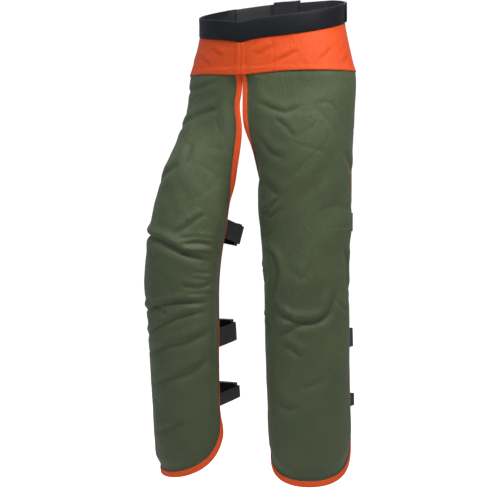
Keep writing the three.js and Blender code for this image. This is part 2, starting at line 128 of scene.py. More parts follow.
# ---- Leg panels: the green outer cloth -------------------------------------------------
# Each leg has one panel of satin nylon, cut wide enough to wrap the front and the outside of
# the leg, with a round hem. It hangs from the yoke's seam over the protective pad, so it
# shows deep pulled folds above and below the bent knee.
seam_drop, crotch_drop, knee_drop, hem_drop = 0.112, 0.252, 0.500, 0.940
station_drops = np.array([seam_drop, crotch_drop, 0.360, knee_drop, 0.700, hem_drop])
half_widths = np.array([0.102, 0.095, 0.097, 0.091, 0.089, 0.088])
half_depths = np.array([0.110, 0.108, 0.098, 0.090, 0.088, 0.087])
inner_wraps = np.array([50, 50, 78, 95, 85, 75])
outer_wrap = 125
hip_half_width, hip_half_depth = 0.189, 0.114
hem_corner, hem_roundness = 0.125, 2.2
legs = {
    "right": {"side": -1, "hip": (-0.088, -0.005), "knee": (-0.147, -0.096),
              "ankle": (-0.147, -0.048), "curl": (0.300, 0.400, 0.780, 0.860),
              "drift": [(0.182, 0.028, -0.007), (0.280, 0.050, 0.007)]},
    "left": {"side": 1, "hip": (0.088, -0.005), "knee": (0.085, 0.0), "ankle": (0.095, 0.005),
             "curl": (0.205, 0.285, 0.780, 0.870),
             "drift": [(0.265, 0.060, 0.001), (0.375, 0.070, 0.009)]},
}


def ease(value, start, end):
    """0 before start, 1 after end and a smooth rise between them."""
    t = np.clip((value - start) / (end - start), 0, 1)
    return t * t * (3 - 2 * t)


def along_leg(drop, values):
    """A smooth curve through the values that are given at the stations down the leg."""
    last = len(station_drops) - 1
    slopes = [(values[min(i + 1, last)] - values[max(i - 1, 0)])
              / (station_drops[min(i + 1, last)] - station_drops[max(i - 1, 0)])
              for i in range(last + 1)]
    drop = np.clip(drop, seam_drop, hem_drop)
    i = np.clip(np.searchsorted(station_drops, drop, side="right") - 1, 0, last - 1)
    span = station_drops[i + 1] - station_drops[i]
    t = (drop - station_drops[i]) / span
    slopes, values = np.array(slopes), np.asarray(values, float)
    return (values[i] * (1 + 2 * t) * (1 - t) ** 2 + values[i + 1] * t * t * (3 - 2 * t)
            + span * (slopes[i] * t * (1 - t) ** 2 - slopes[i + 1] * t * t * (1 - t)))


knee_round = 0.070
thigh_length, shin_length = knee_drop - seam_drop, hem_drop - knee_drop


def leg_centre(leg, drop):
    """The middle of the leg, straight above and below a knee that bends smoothly."""
    hip, knee, ankle = (np.array(leg[joint]) for joint in ("hip", "knee", "ankle"))
    down_thigh = ((drop - seam_drop) / (knee_drop - seam_drop))[..., None]
    down_shin = ((drop - knee_drop) / (hem_drop - knee_drop))[..., None]
    thigh, shin = hip + (knee - hip) * down_thigh, knee + (ankle - knee) * down_shin
    turn = np.clip((drop - knee_drop + knee_round) / (2 * knee_round), 0, 1)[..., None]
    before, after = 1 - turn, turn
    rounded = before ** 2 * (knee - (knee - hip) / thigh_length * knee_round) + (
        2 * before * after * knee) + after ** 2 * (knee + (ankle - knee) / shin_length * knee_round)
    straight = np.where(drop[..., None] < knee_drop, thigh, shin)
    return np.where(np.abs(drop[..., None] - knee_drop) < knee_round, rounded, straight)


def leg_point(leg, drop, share, offset):
    """Share runs from 0 at the panel's inner edge to 1 at its outer edge."""
    drop, share, offset = np.broadcast_arrays(*(np.asarray(v, float)
                                                for v in (drop, share, offset)))
    wrap = along_leg(drop, inner_wraps)
    angle = np.radians(-wrap + (outer_wrap + wrap) * share)
    centre = leg_centre(leg, drop)
    leg_x = centre[..., 0] + leg["side"] * (along_leg(drop, half_widths) + offset) * np.sin(angle)
    leg_y = centre[..., 1] - (along_leg(drop, half_depths) + offset) * np.cos(angle)
    first = math.asin(0.002 / hip_half_width)
    hip_angle = first + (math.radians(outer_wrap) - first) * share
    hip_x = leg["side"] * (hip_half_width + offset) * np.sin(hip_angle)
    hip_y = -(hip_half_depth + offset) * np.cos(hip_angle)
    away = np.clip(share / 0.35, 0, 1)
    own = ease(drop, 0.185 + (seam_drop - 0.185) * away, 0.400 + (0.330 - 0.400) * away)
    return np.stack([hip_x + (leg_x - hip_x) * own, hip_y + (leg_y - hip_y) * own, -drop], -1)


table_rows, table_columns = 414, 200
table_drops = np.linspace(seam_drop, hem_drop, table_rows + 1)
table_fractions = np.linspace(0, 1, table_columns + 1)
for leg in legs.values():
    even_shares = np.linspace(0, 1, 161)
    track = leg_point(leg, table_drops[:, None], even_shares[None, :], 0)
    steps = np.linalg.norm(np.diff(track, axis=1), axis=2)
    lengths = np.concatenate([np.zeros((len(steps), 1)), np.cumsum(steps, axis=1)], axis=1)
    leg["widths"] = lengths[:, -1]
    leg["shares"] = np.array([np.interp(table_fractions * row[-1], row, even_shares)
                              for row in lengths])


def panel_width(leg, drop):
    """Width of the panel along the cloth."""
    return np.interp(drop, table_drops, leg["widths"])


curl_width, curl_angle, curl_level = 0.020, 1.45, -0.0085


def curled(leg, drop, across, offset):
    """Below the split the lining pulls each inner edge round, away from the front."""
    start, full, fade, end = leg["curl"]
    much = curl_angle * ease(drop, start, full) * (1 - ease(drop, fade, end)) + 1e-6
    radius = curl_width / much
    reach = np.maximum(curl_width - across, 0)
    turn = reach / radius
    level = offset - curl_level
    bent_across = curl_width - (radius + level) * np.sin(turn)
    bent_offset = curl_level + (radius + level) * np.cos(turn) - radius
    inside = reach > 0
    return np.where(inside, bent_across, across), np.where(inside, bent_offset, offset)


def edge_drift(leg, drop, across):
    """Where the hanging inner edges bow apart or reach towards each other."""
    shift = sum(reach * np.exp(-((drop - at) / tall) ** 2) for at, tall, reach in leg["drift"])
    return across - shift * (1 - ease(across, 0, 0.090))


def on_panel(leg, drop, across, offset):
    """A point of the panel, across measured along the cloth from its inner edge."""
    drop, across, offset = np.broadcast_arrays(*(np.asarray(v, float)
                                                 for v in (drop, across, offset)))
    across, offset = curled(leg, drop, across, offset)
    across = edge_drift(leg, drop, across)
    fraction = across / panel_width(leg, drop)
    row = np.clip((drop - seam_drop) / (table_drops[1] - table_drops[0]), 0, table_rows - 0.001)
    column = np.clip(fraction * table_columns, 0, table_columns - 0.001)
    i, j = row.astype(int), column.astype(int)
    a, b = row - i, column - j
    s = leg["shares"]
    share = ((s[i, j] * (1 - b) + s[i, j + 1] * b) * (1 - a)
             + (s[i + 1, j] * (1 - b) + s[i + 1, j + 1] * b) * a)
    share = share + np.where(fraction > 1, fraction - 1, 0) + np.where(fraction < 0, fraction, 0)
    return leg_point(leg, drop, share, offset)


# Pulled folds: where each runs over the cloth, as (drop, across) in millimetres, then the
# depth and width of its valley and the height of the ridge beside it.
folds = {
    "right": [
        ([(430, 310), (440, 240), (450, 170), (465, 130), (480, 95), (495, 40)], 8, 9, 6),
        ([(460, 120), (455, 80), (460, 45)], 4, 6, 2.5),
        ([(440, 130), (410, 90), (395, 70)], 4, 7, 3),
        ([(600, 260), (590, 190), (580, 135), (575, 100), (577, 40)], 5.5, 7, 4),
        ([(655, 260), (640, 190), (620, 140), (600, 90), (592, 40)], 4.5, 7, 3.5),
        ([(575, 190), (590, 155), (600, 130)], 3, 6, 2),
        ([(538, 115), (546, 70), (530, 37)], 3, 7, 2),
        ([(145, 240), (140, 120), (126, 40)], 2.5, 8, 2),
        ([(235, 240), (200, 120), (180, 40)], 3, 9, 2.5),
        ([(340, 240), (297, 118), (246, 99)], 4, 11, 3),
        ([(690, 210), (668, 140), (654, 85), (629, 32)], 5.5, 11, 4),
        ([(760, 210), (736, 140), (719, 83), (682, 30)], 5.5, 12, 4),
        ([(850, 190), (838, 130), (815, 80)], 3.5, 12, 2.5),
        ([(380, 300), (365, 250), (330, 215)], 3, 10, 2),
        ([(476, 120), (474, 80), (478, 42)], 2.5, 4, 1.5),
        ([(446, 120), (443, 80), (447, 42)], 2.5, 4.5, 1.5),
        ([(512, 90), (516, 45)], 1.6, 4, 1.2),
        ([(526, 90), (530, 45)], 1.6, 4, 1.2),
        ([(560, 100), (556, 62), (560, 35)], 2.2, 5, 1.5),
        ([(470, 215), (478, 185), (492, 168)], 2, 5, 1.5),
    ],
    "left": [
        ([(172, 28), (182, 55), (193, 82), (196, 98), (190, 118), (180, 142)], 2.2, 8, 1.6),
        ([(235, 33), (256, 44), (277, 67), (287, 102)], 2.6, 9, 1.8),
        ([(320, 23), (340, 81), (365, 130)], 3, 9, 2),
        ([(205, 73), (224, 97), (246, 114)], 2.0, 8, 1.4),
        ([(266, 223), (291, 245), (324, 295)], 3, 10, 2),
        ([(452, 79), (483, 125), (518, 135), (559, 117), (581, 107)], 6, 9, 4.5),
        ([(581, 107), (600, 140), (612, 179), (610, 210), (596, 234), (569, 249), (540, 260)],
         7, 9, 5),
        ([(612, 185), (627, 150), (641, 114)], 5, 9, 3.5),
        ([(400, 81), (380, 115), (361, 127)], 3, 8, 2),
        ([(503, 170), (524, 190), (497, 212)], 2, 12, 1),
        ([(462, 284), (497, 303), (544, 290)], 5, 10, 3.5),
        ([(654, 127), (668, 153), (682, 169)], 4, 10, 3),
        ([(771, 97), (785, 131), (777, 154)], 3.5, 12, 2.5),
        ([(384, 78), (400, 114), (382, 144)], 3, 7, 2),
        ([(700, 230), (730, 200), (745, 160)], 2, 10, 1.5),
        ([(430, 60), (440, 95), (428, 130)], 2, 5, 1.5),
        ([(500, 40), (512, 75), (530, 95)], 2.2, 5, 1.5),
        ([(600, 45), (612, 80), (634, 105)], 2.2, 5, 1.5),
        ([(560, 250), (585, 272), (592, 300)], 2.4, 6, 1.6),
    ],
}
# Soft swellings, where the pad under the cloth pushes out: (drop, across, radius down,
# radius across, height), all in millimetres.
swellings = {
    "right": [(515, 160, 55, 75, 5), (400, 150, 60, 60, 3), (620, 120, 30, 60, 3)],
    "left": [(430, 285, 38, 50, 5), (545, 190, 50, 60, 5), (250, 150, 60, 70, 2),
             (690, 200, 60, 60, 2)],
}


def value_noise(x, y, seed):
    """Smooth noise from -1 to 1 with one bump to a unit, the same on each run."""
    def lattice(i, j):
        value = np.sin(i * 127.1 + j * 311.7 + seed * 74.7) * 43758.5453
        return (value - np.floor(value)) * 2 - 1
    i, j = np.floor(x), np.floor(y)
    a, b = x - i, y - j
    a, b = a * a * (3 - 2 * a), b * b * (3 - 2 * b)
    return ((lattice(i, j) * (1 - a) + lattice(i + 1, j) * a) * (1 - b)
            + (lattice(i, j + 1) * (1 - a) + lattice(i + 1, j + 1) * a) * b)


def rounded_line(points):
    """The points of a smooth curve through a few corners."""
    points = np.array(points, float)
    padded = np.vstack([2 * points[0] - points[1], points, 2 * points[-1] - points[-2]])
    out = []
    for p0, p1, p2, p3 in zip(padded, padded[1:], padded[2:], padded[3:]):
        for t in np.linspace(0, 1, 8, endpoint=False):
            out.append(0.5 * (2 * p1 + (p2 - p0) * t + (2 * p0 - 5 * p1 + 4 * p2 - p3) * t * t
                              + (3 * p1 - p0 - 3 * p2 + p3) * t ** 3))
    return np.array(out + [points[-1]])


def from_line(drop, across, line):
    """Offsets of points from each stretch of a line, the stretches and how far along each."""
    a, span = line[:-1], line[1:] - line[:-1]
    rx, ry = drop[:, None] - a[:, 0], across[:, None] - a[:, 1]
    t = np.clip((rx * span[:, 0] + ry * span[:, 1]) / (span ** 2).sum(1), 0, 1)
    return rx - t * span[:, 0], ry - t * span[:, 1], span, t


def fold_height(drop, across, line, depth, width, ridge):
    """One pulled fold: a narrow valley with a ridge above it and a lower one below it."""
    line = rounded_line(line)
    dx, dy, span, t = from_line(drop, across, line)
    far = np.hypot(dx, dy)
    nearest = far.argmin(1)
    pick = np.arange(len(drop))
    side = np.sign(span[nearest, 0] * dy[pick, nearest] - span[nearest, 1] * dx[pick, nearest])
    if line[-1, 1] < line[0, 1]:
        side = -side
    away = far[pick, nearest] * side
    along = (nearest + t[pick, nearest]) / len(span)
    fade = ease(along, 0, 0.22) * ease(1 - along, 0, 0.22)
    valley = -depth * np.exp(-np.abs(away / (0.52 * width)) ** 1.4)
    above = ridge * np.exp(-((away - 1.4 * width) / (1.1 * width)) ** 2)
    below = 0.45 * ridge * np.exp(-((away + 1.6 * width) / (1.4 * width)) ** 2)
    return fade * (valley + above + below)


def cloth_height(name, drop, across):
    """How far the leg cloth stands off its smooth shape, in metres."""
    shape = drop.shape
    down, side = drop.ravel() * 1000, across.ravel() * 1000
    height = np.zeros_like(down)
    for line, depth, width, ridge in folds[name]:
        box = np.array(line, float)
        reach = 4.5 * width
        close = ((down > box[:, 0].min() - reach) & (down < box[:, 0].max() + reach)
                 & (side > box[:, 1].min() - reach) & (side < box[:, 1].max() + reach))
        if close.any():
            height[close] += fold_height(down[close], side[close], line, depth, width, ridge)
    for at_drop, at_across, tall, wide, rise in swellings[name]:
        height += rise * np.exp(-((down - at_drop) / tall) ** 2 - ((side - at_across) / wide) ** 2)
    seed = 3 if name == "right" else 8
    slant = side + 0.25 * down
    height += 2.2 * value_noise(down / 120, slant / 70, seed)
    height += 1.2 * value_noise((down + 0.5 * side) / 52, slant / 38, seed + 1)
    height += 0.35 * value_noise((down + 0.8 * side) / 22, slant / 20, seed + 2)
    drift = 0.6 * value_noise(down / 90, side / 60, seed + 5)
    for number, (lean, size) in enumerate(((0.35, 46), (-0.5, 60))):
        lines = value_noise((down + lean * side) / size + drift, side / (2.2 * size), seed + 6
                            + number)
        height -= 1.3 * np.exp(-(lines / 0.10) ** 2) * ease(value_noise(
            down / 110, side / 80, seed + 9 + number), -0.1, 0.6)
    height *= 0.25 + 0.75 * ease(down, 112, 150)
    return (height / 1000).reshape(shape)


layer_drop, seam_lap, thread_depth = 0.0073, 0.004, 0.0145


def seam_rise(drop, depth):
    """The sewn edges come up to the yoke's cloth where the panel meets its seam."""
    return 0.0062 * (1 - ease(drop, seam_drop, seam_drop + 0.024)) * (
        1 - ease(depth, 0.013, 0.042))


def cloth_offset(name, drop, across, depth):
    """The outer cloth lies flat at the sewn edges and lifts over the pad inside them."""
    lift = ease(depth, 0.013, 0.042)
    sewn = 0.22 + 0.78 * ease(depth, 0.010, 0.050)
    groove = -0.0011 * np.exp(-((depth - thread_depth) / 0.0016) ** 2)
    pucker = 0.0005 * value_noise(drop * 115 + depth * 40, across * 0 + 0.5, 21)
    pucker = pucker * np.exp(-((depth - 0.017) / 0.012) ** 2)
    tucked = -0.0011 * (1 - ease(drop, seam_drop, seam_drop + 0.012)) * lift
    return (-layer_drop * (1 - lift) + seam_rise(drop, depth) + tucked
            + sewn * cloth_height(name, drop, across) + groove + pucker)


def hem_ray(leg, turn, inset):
    """The hem's curve at a turn, for depths in from its edge: drop, middle and half reach."""
    half = float(panel_width(leg, hem_drop - hem_corner)) / 2
    tall = hem_corner - inset + (half - hem_corner) * (inset / half) ** 2
    drop = hem_drop - hem_corner + tall * math.sin(turn) ** (2 / hem_roundness)
    out = (half - inset) * max(math.cos(turn), 0) ** (2 / hem_roundness)
    return drop, panel_width(leg, drop) / 2, out


def panel_grid(name, edge_depths, inner_columns, row_step, ray_count):
    """Rows of (drop, across, depth) down the panel's sides and rays round its hem."""
    leg = legs[name]
    side_drops = np.concatenate([
        [seam_drop - seam_lap],
        np.linspace(seam_drop, panel_cut, round((panel_cut - seam_drop) / row_step) + 1),
        np.linspace(panel_cut, hem_drop - hem_corner,
                    round((hem_drop - hem_corner - panel_cut) / row_step) + 1)[1:]])
    edge = np.array(edge_depths)
    start = edge[-1]
    fractions = np.linspace(0, 1, inner_columns + 1)[1:]

    def depths(half):
        return np.concatenate([edge, start + (half - start) * fractions])

    rows = []
    for drop in side_drops:
        width = float(panel_width(leg, drop))
        inset = depths(width / 2)
        across = np.concatenate([inset, width - inset[-2::-1]])
        deep = np.concatenate([inset, inset[-2::-1]])
        rows.append(np.stack([np.full_like(across, drop), across, deep], -1))
    inset = depths(float(panel_width(leg, hem_drop - hem_corner)) / 2)
    hem_rays = []
    for turn in np.linspace(0, math.pi / 2, ray_count + 1):
        drop, middle, out = hem_ray(leg, turn, inset)
        hem_rays.append((np.stack([drop, middle - out, inset], -1),
                         np.stack([drop, middle + out, inset], -1)))
    return np.array(rows), np.array([r[0] for r in hem_rays]), np.array([r[1] for r in hem_rays])


def grid_faces(rows, columns, start=0):
    """The four-sided faces of a grid of points."""
    i, j = np.meshgrid(np.arange(rows - 1), np.arange(columns - 1), indexing="ij")
    corner = (start + i * columns + j).ravel()
    return np.stack([corner, corner + 1, corner + columns + 1, corner + columns], -1)


def welded(points, faces, carried):
    """Joins equal points of several grids and drops the faces that this flattens."""
    keys = np.round(points * 2e5).astype(np.int64)
    _, first, inverse = np.unique(keys, axis=0, return_index=True, return_inverse=True)
    inverse = inverse.ravel()
    kept = []
    for face in inverse[faces]:
        corners = [c for k, c in enumerate(face) if c != face[k - 1]]
        if len(corners) > 2:
            kept.append(corners)
    return points[first], kept, [values[first] for values in carried]


def point_normals(points, faces):
    """Directions at the points, so that both parts of a panel shade as one."""
    normals = np.zeros_like(points)
    for size in (3, 4):
        some = np.array([f for f in faces if len(f) == size])
        if len(some):
            a, b = points[some[:, 2]] - points[some[:, 0]], points[some[:, -1]] - points[some[:, 1]]
            if size == 3:
                a = points[some[:, 1]] - points[some[:, 0]]
                b = points[some[:, 2]] - points[some[:, 0]]
            flat = np.cross(a, b)
            for k in range(size):
                np.add.at(normals, some[:, k], flat)
    return normals / np.maximum(np.linalg.norm(normals, axis=1, keepdims=True), 1e-12)


def make_piece(name, points, faces, flat, materials, normals=None, slots=None):
    """A mesh piece with its flat cloth coordinates, in metres, as its UV map."""
    mesh = bpy.data.meshes.new(name)
    mesh.from_pydata(np.asarray(points).tolist(), [], [list(map(int, f)) for f in faces])
    layer = mesh.uv_layers.new(name="flat")
    corners = np.empty(len(mesh.loops), np.int32)
    mesh.loops.foreach_get("vertex_index", corners)
    layer.data.foreach_set("uv", np.asarray(flat, np.float32)[corners].ravel())
    for material in materials:
        mesh.materials.append(material)
    mesh.polygons.foreach_set("use_smooth", np.ones(len(mesh.polygons), bool))
    if slots is not None:
        mesh.polygons.foreach_set("material_index", np.asarray(slots, np.int32))
    mesh.update()
    if normals is not None:
        mesh.normals_split_custom_set_from_vertices(np.asarray(normals).tolist())
    piece = bpy.data.objects.new(name, mesh)
    scene.collection.objects.link(piece)
    return piece


def node_group(name, inputs, outputs):
    group = bpy.data.node_groups.new(name, "ShaderNodeTree")
    for label, kind, value in inputs:
        socket = group.interface.new_socket(name=label, in_out="INPUT", socket_type=kind)
        if value is not None:
            socket.default_value = value
    for label, kind in outputs:
        group.interface.new_socket(name=label, in_out="OUTPUT", socket_type=kind)
    return group, group.nodes.new("NodeGroupInput"), group.nodes.new("NodeGroupOutput")


def sums(tree, operation, first, second=0.0, third=None):
    """A Math node, its inputs linked or set."""
    node = tree.nodes.new("ShaderNodeMath")
    node.operation = operation
    for place, value in enumerate((first, second, third)):
        if isinstance(value, bpy.types.NodeSocket):
            tree.links.new(value, node.inputs[place])
        elif value is not None:
            node.inputs[place].default_value = value
    return node.outputs[0]


# Plain weave: threads over and under each other, at a number of threads to a metre. Its second
# output marks the hollows between threads, which take painted shade in the cloth's colour.
weave, weave_in, weave_out = node_group(
    "Woven threads",
    [("Flat", "NodeSocketVector", None), ("Threads", "NodeSocketFloat", 900.0),
     ("Slant", "NodeSocketFloat", 0.0)],
    [("Height", "NodeSocketFloat"), ("Gap shade", "NodeSocketFloat")])
weave_split = weave.nodes.new("ShaderNodeSeparateXYZ")
weave.links.new(weave_in.outputs["Flat"], weave_split.inputs[0])
warp_way = sums(weave, "MULTIPLY", weave_split.outputs[0], weave_in.outputs["Threads"])
weft_way = sums(weave, "MULTIPLY", weave_split.outputs[1], weave_in.outputs["Threads"])
slanted = sums(weave, "MULTIPLY", weft_way, weave_in.outputs["Slant"])
warp_way = sums(weave, "ADD", warp_way, slanted)
warp_wave = sums(weave, "SINE", sums(weave, "MULTIPLY", warp_way, math.pi))
weft_wave = sums(weave, "SINE", sums(weave, "MULTIPLY", weft_way, math.pi))
over_under = sums(weave, "MULTIPLY", warp_wave, weft_wave)
weave.links.new(sums(weave, "MULTIPLY_ADD", over_under, 0.5, 0.5), weave_out.inputs["Height"])
# The gaps between threads, where the cloth's colour is darkened: painted shade in the weave's
# hollows.
gap = sums(weave, "SUBTRACT", 1.0, sums(weave, "ABSOLUTE", over_under))
weave.links.new(sums(weave, "POWER", gap, 3.0), weave_out.inputs["Gap shade"])

# Cloth tone: broad dye and fade patches, and fine specks of lint and scuffing.
tone, tone_in, tone_out = node_group(
    "Cloth tone",
    [("Flat", "NodeSocketVector", None), ("Patches", "NodeSocketFloat", 9.0),
     ("Specks", "NodeSocketFloat", 420.0)],
    [("Patch", "NodeSocketFloat"), ("Speck", "NodeSocketFloat")])
patch_noise = tone.nodes.new("ShaderNodeTexNoise")
patch_noise.inputs["Detail"].default_value = 4
patch_noise.inputs["Roughness"].default_value = 0.6
tone.links.new(tone_in.outputs["Flat"], patch_noise.inputs["Vector"])
tone.links.new(tone_in.outputs["Patches"], patch_noise.inputs["Scale"])
tone.links.new(patch_noise.outputs["Fac"], tone_out.inputs["Patch"])
speck_noise = tone.nodes.new("ShaderNodeTexNoise")
speck_noise.inputs["Detail"].default_value = 2
tone.links.new(tone_in.outputs["Flat"], speck_noise.inputs["Vector"])
tone.links.new(tone_in.outputs["Specks"], speck_noise.inputs["Scale"])
speck = sums(tone, "MULTIPLY", sums(tone, "SUBTRACT", speck_noise.outputs["Fac"], 0.58), 6.0)
speck = sums(tone, "MINIMUM", sums(tone, "MAXIMUM", speck, 0.0), 1.0)
tone.links.new(speck, tone_out.inputs["Speck"])

# Rumple: small creases that handling leaves in a coated cloth, sharper than its folds.
rumple, rumple_in, rumple_out = node_group(
    "Rumple",
    [("Flat", "NodeSocketVector", None), ("Size", "NodeSocketFloat", 22.0),
     ("Stretch", "NodeSocketFloat", 0.55)],
    [("Height", "NodeSocketFloat")])
rumple_split = rumple.nodes.new("ShaderNodeSeparateXYZ")
rumple.links.new(rumple_in.outputs["Flat"], rumple_split.inputs[0])
rumple_join = rumple.nodes.new("ShaderNodeCombineXYZ")
rumple.links.new(rumple_split.outputs[0], rumple_join.inputs[0])
rumple.links.new(sums(rumple, "MULTIPLY", rumple_split.outputs[1],
                      rumple_in.outputs["Stretch"]), rumple_join.inputs[1])
crease_noise = rumple.nodes.new("ShaderNodeTexNoise")
crease_noise.inputs["Detail"].default_value = 5
crease_noise.inputs["Roughness"].default_value = 0.5
crease_noise.inputs["Distortion"].default_value = 0.9
rumple.links.new(rumple_join.outputs[0], crease_noise.inputs["Vector"])
rumple.links.new(rumple_in.outputs["Size"], crease_noise.inputs["Scale"])
crease_line = sums(rumple, "ABSOLUTE", sums(rumple, "SUBTRACT", crease_noise.outputs["Fac"], 0.5))
rumple.links.new(sums(rumple, "POWER", sums(rumple, "MULTIPLY", crease_line, 4.0), 0.6),
                 rumple_out.inputs["Height"])


def placed(tree, group, coordinates, **values):
    """One use of a node group in a material."""
    node = tree.nodes.new("ShaderNodeGroup")
    node.node_tree = group
    tree.links.new(coordinates, node.inputs["Flat"])
    for label, value in values.items():
        node.inputs[label].default_value = value
    return node


def cloth_finish(name, dark, light, lint, rough, threads, thread_height, crease_size,
                 crease_height, patches=9.0, slant=0.0, gloss=0.3, sheen=0.05,
                 sheen_tint=(1, 1, 1, 1)):
    """A woven cloth: two tones in patches, lint specks, painted shade in the gaps between threads,
    weave and rumple.
    """
    material = bpy.data.materials.new(name)
    material.use_nodes = True
    tree = material.node_tree
    shader = tree.nodes["Principled BSDF"]
    flat = tree.nodes.new("ShaderNodeUVMap")
    flat.uv_map = "flat"
    threads_node = placed(tree, weave, flat.outputs[0], Threads=threads, Slant=slant)
    tone_node = placed(tree, tone, flat.outputs[0], Patches=patches)
    rumple_node = placed(tree, rumple, flat.outputs[0], Size=crease_size)
    colour = None
    # The second mix darkens the colour in the gaps between threads: painted shade in the weave's
    # hollows.
    for share, tint in ((tone_node.outputs["Patch"], light),
                        (sums(tree, "MULTIPLY", threads_node.outputs["Gap shade"], 0.35),
                         tuple(0.35 * c for c in dark[:3]) + (1,)),
                        (sums(tree, "MULTIPLY", tone_node.outputs["Speck"], 0.22), lint)):
        mix = tree.nodes.new("ShaderNodeMix")
        mix.data_type = "RGBA"
        tree.links.new(share, mix.inputs["Factor"])
        if colour is None:
            mix.inputs["A"].default_value = dark
        else:
            tree.links.new(colour, mix.inputs["A"])
        mix.inputs["B"].default_value = tint
        colour = mix.outputs["Result"]
    tree.links.new(colour, shader.inputs["Base Color"])
    roughness = sums(tree, "MULTIPLY_ADD", tone_node.outputs["Patch"], 0.16, rough - 0.08)
    tree.links.new(roughness, shader.inputs["Roughness"])
    shader.inputs["Specular IOR Level"].default_value = gloss
    shader.inputs["Sheen Weight"].default_value = sheen
    shader.inputs["Sheen Roughness"].default_value = 0.45
    shader.inputs["Sheen Tint"].default_value = sheen_tint
    crease_bump = tree.nodes.new("ShaderNodeBump")
    crease_bump.inputs["Distance"].default_value = crease_height
    crease_bump.inputs["Strength"].default_value = 0.7
    tree.links.new(rumple_node.outputs["Height"], crease_bump.inputs["Height"])
    thread_bump = tree.nodes.new("ShaderNodeBump")
    thread_bump.inputs["Distance"].default_value = thread_height
    thread_bump.inputs["Strength"].default_value = 0.6
    tree.links.new(threads_node.outputs["Height"], thread_bump.inputs["Height"])
    tree.links.new(crease_bump.outputs[0], thread_bump.inputs["Normal"])
    tree.links.new(thread_bump.outputs[0], shader.inputs["Normal"])
    return material


green_nylon = cloth_finish(
    "olive satin nylon", screen_colour(63, 73, 48), screen_colour(84, 94, 66),
    screen_colour(120, 128, 104), 0.54, 1500, 0.00012, 24, 0.0011, gloss=0.30, sheen=0.09,
    sheen_tint=screen_colour(205, 220, 228))

panel_cut = 0.400


def bend_with_leg(piece, part):
    """Bakes the piece's placement into its mesh, the same for the upper and the lower part."""
    if part == "thigh":
        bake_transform(piece)
    else:
        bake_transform(piece)


def panel_sheets(name, label, edge_depths, columns, row_step, rays, offset_at, material,
                 faces_in=False):
    """Both parts of one layer of a leg panel, cut at the lower thigh with equal normals."""
    leg = legs[name]
    rows, inner, outer = panel_grid(name, edge_depths, columns, row_step, rays)
    grids = [rows, inner, outer]
    points, faces, flat, start = [], [], [], 0
    for grid, turned in zip(grids, (False, False, True)):
        drop, across, depth = grid[..., 0], grid[..., 1], grid[..., 2]
        where = on_panel(leg, drop, across, offset_at(name, drop, across, depth)).reshape(-1, 3)
        made = grid_faces(*grid.shape[:2], start)
        faces.append(made[:, ::-1] if turned else made)
        points.append(where)
        flat.append(np.stack([across - panel_width(leg, drop) / 2, -drop], -1).reshape(-1, 2))
        start += len(where)
    faces = np.concatenate(faces)
    if (leg["side"] < 0) != faces_in:
        faces = faces[:, ::-1]
    points, faces, (flat,) = welded(np.concatenate(points), faces, [np.concatenate(flat)])
    normals = point_normals(points, faces)
    made = {}
    for part in ("thigh", "shin"):
        mine = [f for f in faces
                if (points[f, 2].mean() > -panel_cut) == (part == "thigh")]
        used, small = np.unique(np.concatenate(mine), return_inverse=True)
        ends = np.cumsum([len(f) for f in mine])[:-1]
        piece = make_piece(f"{name}_{part}_{label}", points[used], np.split(small, ends),
                           flat[used], [material], normals[used])
        bend_with_leg(piece, part)
        made[part] = piece
    return made


cloth_edge_depths = [0.003, 0.006, 0.009, 0.0105, 0.012, 0.0133, 0.0145, 0.0157, 0.017, 0.019,
                     0.022, 0.026, 0.030, 0.035, 0.040, 0.045]
for name in legs:
    outer_cloth = panel_sheets(
        name, "cloth", cloth_edge_depths, 34, 0.0035, 64,
        cloth_offset, green_nylon)
    for part, piece in outer_cloth.items():
        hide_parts(f"{name}_{part}_shell")

# ---- Leg panels: lining and protective pad ---------------------------------------------
# The lining is a dark knitted cloth that faces the wearer. Between it and the outer cloth
# lies the pad, a stack of loose pale fibre layers that is cut smaller than the panel.
lining_knit = cloth_finish(
    "dark knitted lining", screen_colour(46, 49, 54), screen_colour(62, 66, 72),
    screen_colour(92, 96, 100), 0.85, 620, 0.0004, 14, 0.0008, sheen=0.08)
pad_felt = cloth_finish(
    "pale fibre layers", screen_colour(196, 188, 164), screen_colour(220, 214, 194),
    screen_colour(235, 232, 220), 0.95, 420, 0.0005, 30, 0.001, sheen=0.1)



def fold_hollow(name, drop, across, depth):
    """How far pad and lining give way behind the cloth's folds: wide, soft hollows."""
    down, side = drop.ravel() * 1000, across.ravel() * 1000
    hollow = np.zeros_like(down)
    for line, deep, _, _ in folds[name]:
        dx, dy, _, _ = from_line(down, side, rounded_line(line))
        away = np.hypot(dx, dy).min(1)
        hollow = np.maximum(hollow, 0.35 * deep * np.exp(-(away / 18) ** 2))
    return (hollow / 1000).reshape(drop.shape) * ease(depth, 0.010, 0.050)


def lining_offset(name, drop, across, depth):
    """The lining lies behind the pad, and comes up to the cloth in the seam at the yoke."""
    sewn_in = 0.0068 * (1 - ease(drop, seam_drop - seam_lap, seam_drop + 0.012))
    return -0.0097 + np.maximum(seam_rise(drop, depth), sewn_in) - fold_hollow(
        name, drop, across, depth)


lining_edge_depths = [0.003, 0.008, 0.012, 0.018, 0.026, 0.036]
for name in legs:
    lining = panel_sheets(
        name, "lining_cloth", lining_edge_depths, 16, 0.009, 26,
        lining_offset,
        lining_knit, faces_in=True)
    for part, piece in lining.items():
        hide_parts(f"{name}_{part}_lining")

